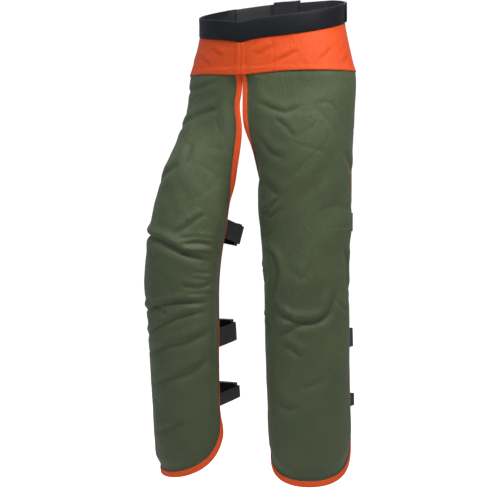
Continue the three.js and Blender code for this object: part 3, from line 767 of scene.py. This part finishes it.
pad_inset, pad_top = 0.022, seam_drop + 0.014
for name in legs:
    leg = legs[name]
    rows, inner, outer = panel_grid(name, [pad_inset, 0.026, 0.034, 0.045], 14, 0.010, 24)
    for part in ("thigh", "shin"):
        grids = []
        if part == "thigh":
            grids.append((rows[rows[:, 0, 0] <= panel_cut + 1e-6], False))
        else:
            grids += [(rows[rows[:, 0, 0] >= panel_cut - 1e-6], False), (inner, False),
                      (outer, True)]
        points, faces, flat, start = [], [], [], 0
        for face_out in (True, False):
            for grid, turned in grids:
                drop, across, depth = grid[..., 0], grid[..., 1], grid[..., 2]
                if part == "thigh":
                    first = drop[0, 0]
                    drop = pad_top + (drop - first) * (panel_cut - pad_top) / (
                        panel_cut - first)
                swell = ease(depth, pad_inset, 0.042) * ease(drop, pad_top, pad_top + 0.020)
                lumps = np.minimum.reduce([
                    cloth_height(name, drop + down, across + over)
                    for down in (-0.006, 0, 0.006) for over in (-0.006, 0, 0.006)])
                lumps = 1.05 * lumps * ease(depth, 0.010, 0.050)
                behind = 0.0009 + lining_offset(name, drop, across, depth)
                offset = behind
                if face_out:
                    offset = np.maximum(behind + 0.0002, -0.0084 + 0.0054 * swell
                                        + seam_rise(drop, depth) + np.minimum(lumps, 0.002))
                where = on_panel(leg, drop, across, offset).reshape(-1, 3)
                made = grid_faces(*grid.shape[:2], start)
                faces.append(made[:, ::-1] if turned != (not face_out) else made)
                points.append(where)
                flat.append(np.stack([across, -drop], -1).reshape(-1, 2))
                start += len(where)
        faces = np.concatenate(faces)
        if leg["side"] < 0:
            faces = faces[:, ::-1]
        points, faces, (flat,) = welded(np.concatenate(points), faces, [np.concatenate(flat)])
        pad = make_piece(f"{name}_{part}_pad_felt", points, faces, flat, [pad_felt])
        closing = pad.modifiers.new("thickness", "WELD")
        closing.merge_threshold = 0.0002
        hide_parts(f"{name}_{part}_pad")
        bend_with_leg(pad, part)

# ---- Leg panels: edge bindings ---------------------------------------------------------
# Every free edge of a panel is closed by one orange tape, folded over cloth and lining and
# topstitched through all layers in orange thread.
orange_tape = cloth_finish(
    "orange binding tape", screen_colour(224, 72, 16), screen_colour(244, 92, 26),
    screen_colour(250, 150, 100), 0.6, 1100, 0.00018, 60, 0.0004, patches=16)
orange_thread = cloth_finish(
    "orange sewing thread", screen_colour(206, 72, 28), screen_colour(236, 104, 50),
    screen_colour(250, 170, 120), 0.5, 3000, 0.00005, 300, 0.0001, slant=1.0)

# The folded tape in section, as (depth in from the edge, offset), in millimetres.
tape_section = [
    (11.2, -6.6), (10.9, -5.9), (9.0, -5.6), (6.0, -5.5), (3.0, -5.6), (0.8, -5.9), (-0.6, -6.7),
    (-1.2, -7.8), (-1.3, -8.6), (-1.2, -9.5), (-0.6, -10.5), (0.8, -11.2), (3.0, -11.4),
    (9.0, -11.35), (10.9, -11.1), (11.2, -10.7), (10.6, -10.4), (3.0, -10.4), (0.6, -10.2),
    (-0.2, -9.3), (-0.35, -8.6), (-0.2, -7.8), (0.6, -7.0), (3.0, -6.75), (10.6, -6.8)]


def edge_place(name, place, depth):
    """(drop, across) at a depth in from the panel's edge; place is where along the edge."""
    leg, (stretch, at) = legs[name], place
    if stretch in ("inner", "outer"):
        drop = np.full_like(depth, at)
        return drop, depth if stretch == "inner" else panel_width(leg, drop) - depth
    drop, middle, out = hem_ray(leg, at, depth)
    return drop, middle - out if stretch == "hem_inner" else middle + out


def edge_places(part):
    """Where the rings of each run of tape stand along the edge."""
    if part == "thigh":
        drops = np.linspace(seam_drop - seam_lap, panel_cut, 76)
        return {"inner": [("inner", d) for d in drops], "outer": [("outer", d) for d in drops]}
    drops = np.linspace(panel_cut, hem_drop - hem_corner, 106)
    turns = np.linspace(0, math.pi / 2, 68)[1:]
    return {"": [("inner", d) for d in drops] + [("hem_inner", t) for t in turns]
            + [("hem_outer", t) for t in turns[-2::-1]] + [("outer", d) for d in drops[::-1]]}


def edge_track(name, places, depth, offset, lift):
    """Points along the edge at one depth and offset; lift is the share of the cloth's folds."""
    leg = legs[name]
    drop, across = (np.concatenate(v) for v in zip(*[
        edge_place(name, place, np.array([depth])) for place in places]))
    rise = lift * 0.22 * cloth_height(name, drop, across) + seam_rise(drop, 0 * drop)
    return on_panel(leg, drop, across, offset + rise)


def outward(points, faces):
    """Faces of a closed mesh, turned so that they all look out."""
    volume = 0.0
    for face in faces:
        a = points[face[0]]
        for b, c in zip(face[1:-1], face[2:]):
            volume += a @ np.cross(points[b], points[c])
    return [list(f)[::-1] for f in faces] if volume < 0 else [list(f) for f in faces]


def swept(rings, along, around):
    """A closed tube through rings of points, with flat coordinates along and around it."""
    count, corners = rings.shape[:2]
    faces = []
    for i in range(count - 1):
        for j in range(corners):
            k = (j + 1) % corners
            faces.append([i * corners + j, i * corners + k, (i + 1) * corners + k,
                          (i + 1) * corners + j])
    faces.append(list(range(corners))[::-1])
    faces.append(list(range((count - 1) * corners, count * corners)))
    points = rings.reshape(-1, 3)
    flat = np.stack(np.broadcast_arrays(around[None, :], along[:, None]), -1).reshape(-1, 2)
    return points, outward(points, faces), flat


def running(track):
    """Length along a track at each of its points."""
    return np.concatenate([[0], np.cumsum(np.linalg.norm(np.diff(track, axis=0), axis=1))])


def stitches(track, above, pitch=0.0034, length=0.0026, thick=0.0006):
    """A row of sewn stitches along a track; above is a track just over the same surface."""
    lengths = running(track)
    count = int(lengths[-1] / pitch)
    points, faces, flat = [], [], []
    six = np.arange(6) * math.pi / 3
    for n in range(count):
        at = (n + 0.5) * pitch
        centre = np.array([np.interp(at, lengths, track[:, k]) for k in range(3)])
        ahead = np.array([np.interp(at + 0.001, lengths, track[:, k]) for k in range(3)])
        up = np.array([np.interp(at, lengths, above[:, k]) for k in range(3)]) - centre
        forward = (ahead - centre) / (np.linalg.norm(ahead - centre) + 1e-12)
        up = up / (np.linalg.norm(up) + 1e-12)
        across = np.cross(forward, up)
        first = len(points)
        for share, size, sink in ((-0.5, 0.35, 0.5), (-0.25, 0.95, 0.05), (0.25, 0.95, 0.05),
                                  (0.5, 0.35, 0.5)):
            middle = centre + forward * share * length - up * sink * thick
            for angle in six:
                points.append(middle + (across * math.cos(angle) + up * math.sin(angle))
                              * thick / 2 * size)
                flat.append((at + share * length, angle * thick / 2))
        for ring in range(3):
            for j in range(6):
                a, b = first + ring * 6 + j, first + ring * 6 + (j + 1) % 6
                faces.append([a, b, b + 6, a + 6])
        faces += [[first + j for j in range(5, -1, -1)], [first + 18 + j for j in range(6)]]
    points = np.array(points)
    return points, outward(points, faces), np.array(flat)


def joined(parts):
    """Several (points, faces, flat) as one, with the number of the part for each face."""
    points, faces, flat, slots, start = [], [], [], [], 0
    for number, (some_points, some_faces, some_flat) in parts:
        points.append(some_points)
        flat.append(some_flat)
        faces += [[c + start for c in f] for f in some_faces]
        slots += [number] * len(some_faces)
        start += len(some_points)
    return np.concatenate(points), faces, np.concatenate(flat), slots


for name in legs:
    for part in ("thigh", "shin"):
        for edge, places in edge_places(part).items():
            rings = []
            for depth, offset in tape_section:
                lift = 1.0 if offset > -8.6 else 0.3
                rings.append(edge_track(name, places, depth / 1000, offset / 1000, lift))
            rings = np.stack(rings, 1)
            along = running(rings[:, 4])
            outer_face = np.array([offset > -6.0 for _, offset in tape_section])
            ripple = 0.00022 * value_noise(along * 150, along * 0 + 0.5, 31)
            out = rings[:, 3] - rings[:, -2]
            out /= np.linalg.norm(out, axis=1, keepdims=True)
            rings[:, outer_face] += (out * ripple[:, None])[:, None, :]
            around = np.concatenate([[0], np.cumsum(np.hypot(*np.diff(
                np.array(tape_section) / 1000, axis=0).T))])
            tape = swept(rings, along, around)
            rows = [(0, tape)]
            for depth, offset, above in ((8.7, -5.58, -4.5), (8.7, -11.38, -12.5)):
                lift = 1.0 if offset > -8.6 else 0.3
                track = edge_track(name, places, depth / 1000, offset / 1000, lift)
                over = edge_track(name, places, depth / 1000, above / 1000, lift)
                rows.append((1, stitches(track, over)))
            points, faces, flat, slots = joined(rows)
            label = f"{name}_{part}_{edge}_tape".replace("__", "_")
            piece = make_piece(label, points, faces, flat, [orange_tape, orange_thread],
                               slots=slots)
            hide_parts(f"{name}_{part}_{edge}_binding".replace("__", "_"))
            bend_with_leg(piece, part)

# A row of green thread runs round each panel just inside the tape and holds the layers.
green_thread = cloth_finish(
    "olive sewing thread", screen_colour(48, 56, 38), screen_colour(70, 80, 56),
    screen_colour(110, 118, 92), 0.5, 3000, 0.00005, 300, 0.0001, slant=1.0)
for name in legs:
    for part in ("thigh", "shin"):
        rows = []
        for places in edge_places(part).values():
            tracks = []
            for over in (0.0002, 0.0012):
                drop, across = (np.concatenate(v) for v in zip(*[
                    edge_place(name, place, np.array([thread_depth])) for place in places]))
                offset = cloth_offset(name, drop, across, np.full_like(drop, thread_depth))
                tracks.append(on_panel(legs[name], drop, across, offset + over))
            rows.append((0, stitches(tracks[0], tracks[1], pitch=0.0038, length=0.0028,
                                     thick=0.0005)))
        points, faces, flat, slots = joined(rows)
        piece = make_piece(f"{name}_{part}_seam_thread", points, faces, flat, [green_thread])
        bend_with_leg(piece, part)

# ---- Yoke ------------------------------------------------------------------------------
# Two halves of doubled orange cloth hang from the waistband and carry the leg panels. They
# meet at the front under a placket, a folded strip sewn down the middle.
waist_half_width, waist_half_depth = 0.160, 0.112
band_height, band_thickness, band_slope = 0.040, 0.003, 0.24
band_dip, band_dip_angle = 0.007, math.radians(28)

orange_cloth = cloth_finish(
    "orange yoke cloth", screen_colour(201, 59, 1), screen_colour(217, 76, 3),
    screen_colour(252, 160, 110), 0.62, 1300, 0.00014, 20, 0.0012, patches=7)


def band_drop(angle, y):
    """How far the band hangs below the waist, deepest at the centre front."""
    dip = np.maximum(0, 1 - np.abs(angle) / band_dip_angle)
    return band_dip * dip * dip - band_slope * y


def hip_point(side, angle, drop, offset):
    """The cloth widens evenly from the waistband's lower edge to the seam."""
    start = band_drop(angle, -waist_half_depth * np.cos(angle)) + 0.014
    share = np.clip((drop - start) / (seam_drop - start), 0, 1.1) ** 1.15
    wide = waist_half_width + (hip_half_width - waist_half_width) * share + offset
    deep = waist_half_depth + (hip_half_depth - waist_half_depth) * share + offset
    return np.stack([side * wide * np.sin(angle), -deep * np.cos(angle),
                     -drop + 0 * angle], -1)


def yoke_hem(along):
    """The yoke's hem, which laps a little lower over the panels at the centre front."""
    return seam_drop - 0.00015 + 0.007 * np.exp(-(along / 0.065) ** 2)


def slab(outer, inner, flat):
    """A closed sheet between two grids of points."""
    rows, columns = outer.shape[:2]
    count = rows * columns
    faces = grid_faces(rows, columns).tolist()
    faces += grid_faces(rows, columns, count)[:, ::-1].tolist()
    rim = ([(0, j) for j in range(columns)] + [(i, columns - 1) for i in range(1, rows)]
           + [(rows - 1, j) for j in range(columns - 2, -1, -1)]
           + [(i, 0) for i in range(rows - 2, 0, -1)])
    rim = [i * columns + j for i, j in rim]
    for a, b in zip(rim, rim[1:] + rim[:1]):
        faces.append([b, a, a + count, b + count])
    points = np.concatenate([outer.reshape(-1, 3), inner.reshape(-1, 3)])
    return points, outward(points, faces), np.concatenate([flat.reshape(-1, 2)] * 2)


def rolled(i, count, depth):
    """How far the face of a sheet sinks at its first and last rows."""
    near = np.minimum(i, count - 1 - i)
    return depth * np.where(near == 0, 1.0, np.where(near == 1, 0.25, 0.0))


yoke_creases = [((0.030, 0.085), (0.075, 0.060), 0.0011), ((0.060, 0.100), (0.125, 0.070), 0.0014),
                ((0.150, 0.098), (0.205, 0.062), 0.0011), ((0.215, 0.100), (0.262, 0.078), 0.0012),
                ((0.020, 0.066), (0.050, 0.050), 0.0007)]


def yoke_height(side, along, drop):
    """Soft waves and a few pulled creases in the yoke."""
    height = 0.0006 * value_noise(along / 0.045 + 9 * side, drop / 0.03, 41)
    for (x0, d0), (x1, d1), depth in yoke_creases:
        shift = 0.008 if side < 0 else 0.0
        ax, ad = along - x0 - shift, drop - d0
        sx, sd = x1 - x0, d1 - d0
        t = np.clip((ax * sx + ad * sd) / (sx * sx + sd * sd), 0, 1)
        far = np.hypot(ax - t * sx, ad - t * sd)
        signed = (ax * sd - ad * sx) / math.hypot(sx, sd)
        height += ease(t, 0, 0.3) * ease(1 - t, 0, 0.3) * depth * (
            -np.exp(-(far / 0.0045) ** 2) + 0.8 * np.exp(-((signed - 0.009) / 0.007) ** 2)
            * (far < 0.03))
    return height * ease(seam_drop - drop, 0.002, 0.014)


def yoke_surface(side, angle, drop, offset):
    """A point of the creased yoke."""
    along = angle * 0.155
    return hip_point(side, angle, drop, offset + yoke_height(side, along, drop))


yoke_gap = 0.0005
for name, leg in legs.items():
    side = leg["side"]
    first = math.asin(yoke_gap / hip_half_width)
    last = math.radians(outer_wrap)
    angles = np.concatenate([[first, first + 0.006], np.linspace(first + 0.02, last - 0.02, 110),
                             [last - 0.006, last]])
    depth_at = hip_point(side, angles, 0 * angles, 0)[..., 1]
    top = band_drop(angles, depth_at) + band_height / 2 - 0.012
    share = np.concatenate([[0, 0.012], np.linspace(0.04, 0.975, 34), [0.990, 1.0]])
    drop = top[None, :] + (yoke_hem(angles * 0.155) - top[None, :]) * share[:, None]
    angle = np.broadcast_to(angles[None, :], drop.shape)
    i = np.arange(len(share))[:, None]
    j = np.arange(len(angles))[None, :]
    sink = np.maximum(rolled(i, len(share), 0.0007), rolled(j, len(angles), 0.0007))
    proud = 0.0010 * ease(drop, seam_drop - 0.012, seam_drop - 0.004)
    outer = yoke_surface(side, angle, drop, proud - sink)
    inner = yoke_surface(side, angle, drop, -0.0022 + sink * 0.6)
    flat = np.stack([angle * 0.17, -drop], -1)
    rows = [(0, slab(outer, inner, flat))]
    seam_angles = np.linspace(first + 0.03, last - 0.02, 140)
    for above_seam in (0.0035, 0.0095):
        at = yoke_hem(seam_angles * 0.155) - above_seam
        lift = 0.0001 + 0.0010 * ease(at, seam_drop - 0.012, seam_drop - 0.004)
        rows.append((1, stitches(yoke_surface(side, seam_angles, at, lift),
                                 yoke_surface(side, seam_angles, at, lift + 0.001))))
    at = np.linspace(top[-1] + 0.012, seam_drop - 0.012, 12)
    edge = np.full_like(at, last - 0.045)
    rows.append((1, stitches(yoke_surface(side, edge, at, 0.0001),
                             yoke_surface(side, edge, at, 0.0012))))
    points, faces, flat, slots = joined(rows)
    piece = make_piece(f"{name}_yoke_cloth", points, faces, flat, [orange_cloth, orange_thread],
                       slots=slots)
    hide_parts(f"{name}_yoke")
    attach(piece, "waist")

# The placket: one folded strip with a pressed line down its middle and a row of stitches
# near each edge.
placket_half = 0.010
across = np.array([-1, -0.93, -0.8, -0.6, -0.4, -0.2, -0.1, -0.04, 0, 0.04, 0.1, 0.2, 0.4, 0.6,
                   0.8, 0.93, 1]) * placket_half
centre_top = float(band_drop(0.0, -waist_half_depth - band_thickness)) + band_height / 2 + 0.0003
placket_end = float(yoke_hem(0.0))
drops = np.concatenate([[centre_top, centre_top + 0.0006],
                        np.linspace(centre_top + 0.003, placket_end - 0.002, 26),
                        [placket_end - 0.0008, placket_end]])
drop, reach = np.meshgrid(drops, across, indexing="ij")
angle = reach / waist_half_width
i = np.arange(len(drops))[:, None]
j = np.arange(len(across))[None, :]
sink = np.maximum(rolled(i, len(drops), 0.0006), rolled(j, len(across), 0.0006))
pressed = 0.0009 * np.exp(-(reach / 0.0007) ** 2)
wave = 0.0003 * value_noise(drop / 0.012, reach / 0.012, 51)
outer = hip_point(1, angle, drop, 0.0018 + 0.0009 * ease(drop, 0.100, 0.108) + wave - sink
                  - pressed)
inner = hip_point(1, angle, drop, 0.0004 + 0 * reach)
rows = [(0, slab(outer, inner, np.stack([reach, -drop], -1)))]
for stitch_row in (-0.0075, 0.0075):
    at = np.linspace(centre_top + 0.004, placket_end - 0.003, 20)
    turn = np.full_like(at, stitch_row / waist_half_width)
    lift = 0.0018 + 0.0009 * ease(at, 0.100, 0.108)
    rows.append((1, stitches(hip_point(1, turn, at, lift), hip_point(1, turn, at, lift + 0.001))))
points, faces, flat, slots = joined(rows)
placket = make_piece("placket_cloth", points, faces, flat, [orange_cloth, orange_thread],
                     slots=slots)
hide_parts("yoke_placket")
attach(placket, "waist")

# ---- Waistband -------------------------------------------------------------------------
# A smooth, near-black band of doubled cloth over a stiffener, sewn over the yoke's top with
# black thread. It dips at the front and rides up towards the back.
band_cloth = cloth_finish(
    "dark waistband cloth", screen_colour(14, 16, 21), screen_colour(24, 27, 34),
    screen_colour(70, 74, 84), 0.5, 1600, 0.00010, 16, 0.0006, patches=6, gloss=0.16, sheen=0.02)
black_thread = cloth_finish(
    "black sewing thread", screen_colour(18, 19, 22), screen_colour(34, 36, 40),
    screen_colour(70, 72, 78), 0.5, 3000, 0.00005, 300, 0.0001, slant=1.0)
band_section = [(3.0, 0.46), (3.2, 0.3), (3.25, 0.0), (3.2, -0.3), (3.0, -0.46), (2.5, -0.49),
                (1.7, -0.5), (0.8, -0.49), (0.35, -0.46), (0.3, 0.0), (0.35, 0.46), (0.8, 0.49),
                (1.7, 0.5), (2.5, 0.49)]


def band_point(angle, offset, level):
    """Level runs from -0.5 at the band's lower edge to 0.5 at its upper edge."""
    middle = hip_point(1, angle, 0 * angle, offset)
    base = hip_point(1, angle, 0 * angle, 0.0003)
    middle[..., 2] = band_height * level - band_drop(angle, base[..., 1])
    return middle


last = math.radians(outer_wrap)
angles = np.linspace(-last, last, 150)
rings = []
for offset, level in band_section:
    roll = 0.0007 * value_noise(angles * 3.1, angles * 0 + level * 2, 61)
    edge_wave = 0.02 * value_noise(angles * 4.3, angles * 0 + 0.5, 62)
    rings.append(band_point(angles, offset / 1000 + (roll if offset > 0.5 else 0 * roll),
                            level + edge_wave * (1 if level > 0.2 else 0)))
rings = np.stack(rings, 1)
along = running(rings[:, 2])
around = np.concatenate([[0], np.cumsum([math.hypot(b[0] / 1000 - a[0] / 1000,
                                                    (b[1] - a[1]) * band_height)
                                         for a, b in zip(band_section, band_section[1:])])])
rows = [(0, swept(rings, along, around))]
seam_angles = np.linspace(-last + 0.03, last - 0.03, 200)
for level in (-0.42, 0.42):
    roll = 0.0007 * value_noise(seam_angles * 3.1, seam_angles * 0 + level * 2, 61)
    edge_wave = 0.02 * value_noise(seam_angles * 4.3, seam_angles * 0 + 0.5, 62) * (level > 0.2)
    rows.append((1, stitches(band_point(seam_angles, 0.0031 + roll, level + edge_wave),
                             band_point(seam_angles, 0.0041 + roll, level + edge_wave))))
points, faces, flat, slots = joined(rows)
waistband = make_piece("waistband_cloth", points, faces, flat, [band_cloth, black_thread],
                       slots=slots)
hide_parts("waistband")
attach(waistband, "waist")

# ---- Straps and waist belt -------------------------------------------------------------
# Flat woven webbing: three straps behind each leg, sewn to the lining at both edges of the
# panel, and a belt behind the waist, sewn over the ends of the waistband.
black_webbing = cloth_finish(
    "black webbing", screen_colour(20, 21, 24), screen_colour(34, 36, 40),
    screen_colour(78, 80, 84), 0.62, 560, 0.00045, 90, 0.0003, patches=14, slant=0.5,
    sheen=0.03)
webbing_thickness, strap_tuck, bend_pull = 0.0018, 0.026, (0.42, 0.62)
buckle_wall, buckle_run, pocket_depth = 0.002, 0.022, 0.009
slide_gap, prong_root, socket_inset = 0.0004, 0.002, 0.010
leg_strap_flat, belt_flat, belt_width, belt_tuck, belt_lift = 0.054, 0.076, 0.038, 0.040, 0.0006
level_tries = 6
socket_length = pocket_depth + buckle_wall + buckle_run + slide_gap


def strap_runs(tucked_inner, tucked_outer, flat_half, back, side):
    """The two webbing paths of a strap, in its own level frame, each to its free end."""
    socket_start = -side * (flat_half - socket_inset)
    inner_end = socket_start + side * (pocket_depth - slide_gap)
    clip_start = socket_start + side * (socket_length + slide_gap)
    outer_end = clip_start + side * (prong_root + slide_gap)
    runs = {}
    for which, tucked, corner_x, end in (("inner", tucked_inner, -side * flat_half, inner_end),
                                         ("outer", tucked_outer, side * flat_half, outer_end)):
        start, corner = np.array(tucked[-1]), np.array([corner_x, back])
        control = np.array([start[0] + (corner[0] - start[0]) * bend_pull[0],
                            start[1] + (corner[1] - start[1]) * bend_pull[1]])
        t = np.linspace(0, 1, 26)[:, None]
        bend = start * (1 - t) ** 2 + 2 * control * t * (1 - t) + corner * t * t
        straight = corner + (np.array([end, back]) - corner) * np.linspace(0, 1, 12)[1:, None]
        runs[which] = np.concatenate([np.array(tucked[:-1]), bend, straight])
    return runs


webbing_section = [(0.5, -0.475), (0.5, -0.25), (0.5, 0.0), (0.5, 0.25), (0.5, 0.475),
                   (0.25, 0.5), (-0.25, 0.5), (-0.5, 0.475), (-0.5, 0.25), (-0.5, 0.0),
                   (-0.5, -0.25), (-0.5, -0.475), (-0.25, -0.5), (0.25, -0.5)]


def face_way(path):
    """Which way the webbing's face looks at each point of its path."""
    tangent = np.gradient(path, axis=0)
    tangent /= np.linalg.norm(tangent, axis=1, keepdims=True)
    return np.stack([tangent[:, 1], -tangent[:, 0]], -1)


def webbing(path, width, place, thickness=webbing_thickness):
    """Flat webbing on edge along a path seen from above, set in place by a matrix."""
    normal = face_way(path)
    rings = np.empty((len(path), len(webbing_section), 3))
    for k, (thick, high) in enumerate(webbing_section):
        rings[:, k, :2] = path + normal * thick * thickness
        rings[:, k, 2] = high * width
    place = np.array(place)
    rings = rings @ place[:3, :3].T + place[:3, 3]
    around = np.array([high for _, high in webbing_section]) * width
    return swept(rings, running(path), around)


def box_stitching(path, start, end, width, place, lift):
    """A sewn box with its crossed lines, on one face of webbing between two lengths."""
    place = np.array(place)
    along, normal = running(path), face_way(path)
    high = width * 0.40
    lines = [((start, -high), (end, -high)), ((end, -high), (end, high)),
             ((end, high), (start, high)), ((start, high), (start, -high)),
             ((start, -high), (end, high)), ((start, high), (end, -high))]
    rows = []
    for (s0, h0), (s1, h1) in lines:
        t = np.linspace(0, 1, 12)
        s, h = s0 + (s1 - s0) * t, h0 + (h1 - h0) * t
        tracks = []
        for over in (lift, lift * 2):
            flat = np.stack([np.interp(s, along, path[:, k] + normal[:, k] * over)
                             for k in range(2)] + [h], -1)
            tracks.append(flat @ place[:3, :3].T + place[:3, 3])
        rows.append((1, stitches(tracks[0], tracks[1], pitch=0.003, length=0.0024,
                                 thick=0.0006)))
    return rows


def strap_piece(label, path, width, place, node, body, tuck, face):
    """One webbing run: its end is turned back and sewn down with a box of stitches."""
    rows = [(0, webbing(path, width, place))]
    rows += box_stitching(path, 0.003, tuck - 0.003, width, place,
                          face * (webbing_thickness / 2 + 0.0001))
    points, faces, flat, slots = joined(rows)
    piece = make_piece(label, points, faces, flat, [black_webbing, black_thread], slots=slots)
    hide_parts(node)
    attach(piece, body)


strap_drops = {"thigh_strap": (0.415, 0.038, 0.0023, "thigh"),
               "calf_strap": (0.653, 0.038, 0.0018, "shin"),
               "ankle_strap": (0.781, 0.025, 0.0018, "shin")}
lining_in = -0.0098
for name, leg in legs.items():
    for strap, (drop, width, gap, part) in strap_drops.items():
        here, below = leg_centre(leg, np.array([drop, drop + 0.001]))
        down = Vector((below[0] - here[0], below[1] - here[1], -0.001)).normalized()
        up = -down
        across = Vector((0, 1, 0)).cross(up).normalized()
        ahead = up.cross(across)
        place = Matrix((across, ahead, up)).transposed().to_4x4()
        place.translation = Vector((here[0], here[1], -drop))
        back = place.inverted()
        offset = lining_in - 0.0005 - 0.001 - gap - webbing_thickness / 2
        tucked = {}
        for edge in ("inner", "outer"):
            tucked[edge] = []
            for depth in (strap_tuck, strap_tuck / 2, 0.0):
                level = drop
                for _ in range(level_tries):
                    reach = depth if edge == "inner" else float(panel_width(leg, level)) - depth
                    point = back @ Vector(on_panel(leg, np.array(level), np.array(reach),
                                                   np.array(offset)))
                    level += point.z
                tucked[edge].append((point.x, point.y))
        half = float(along_leg(np.array([drop]), half_depths)[0]) - webbing_thickness
        runs = strap_runs(tucked["inner"], tucked["outer"], leg_strap_flat, half, leg["side"])
        for edge, path in runs.items():
            face = 1 if (edge == "inner") == (leg["side"] < 0) else -1
            strap_piece(f"{name}_{strap}_{edge}_strip", path, width, place,
                        f"{name}_{strap}_{edge}_webbing", f"{name}_{part}", strap_tuck, face)

belt_offset = belt_lift + band_thickness + belt_lift + webbing_thickness / 2
belt_turn = belt_tuck / waist_half_depth / 2
belt_ends = {}
for end, side in (("inner", -1), ("outer", 1)):
    turns = np.array([last - belt_turn * step for step in (2, 1, 0)])
    belt_ends[end] = [tuple(p[:2]) for p in hip_point(side, turns, 0 * turns, belt_offset)]
belt_place = Matrix.Identity(4)
belt_place[2][1] = band_slope
runs = strap_runs(belt_ends["inner"], belt_ends["outer"], belt_flat, waist_half_depth, 1)
for end, path in runs.items():
    strap_piece(f"belt_{end}_strip", path, belt_width, belt_place, f"belt_{end}_webbing",
                "waist", belt_tuck, 1 if end == "inner" else -1)

# ---- Side-release buckles --------------------------------------------------------------
# Moulded black acetal: a socket sewn to the shorter strip and a clip with two prongs that
# slides along the longer one. The mould leaves a fine grain, and the gloss varies in patches.
moulded = bpy.data.materials.new("black moulded plastic")
moulded.use_nodes = True
tree = moulded.node_tree
shader = tree.nodes["Principled BSDF"]
place_node = tree.nodes.new("ShaderNodeTexCoord")
tone_node = placed(tree, tone, place_node.outputs["Object"], Patches=30.0, Specks=900.0)
mix = tree.nodes.new("ShaderNodeMix")
mix.data_type = "RGBA"
mix.inputs["A"].default_value = screen_colour(20, 21, 23)
mix.inputs["B"].default_value = screen_colour(34, 35, 38)
tree.links.new(tone_node.outputs["Patch"], mix.inputs["Factor"])
tree.links.new(mix.outputs["Result"], shader.inputs["Base Color"])
tree.links.new(sums(tree, "MULTIPLY_ADD", tone_node.outputs["Patch"], 0.2, 0.28),
               shader.inputs["Roughness"])
grain_bump = tree.nodes.new("ShaderNodeBump")
grain_bump.inputs["Distance"].default_value = 0.0001
grain_bump.inputs["Strength"].default_value = 0.5
tree.links.new(tone_node.outputs["Speck"], grain_bump.inputs["Height"])
tree.links.new(grain_bump.outputs[0], shader.inputs["Normal"])
for node_name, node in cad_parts.items():
    if node_name.endswith(("_socket", "_clip")):
        for material_slot in node.material_slots:
            material_slot.material = moulded
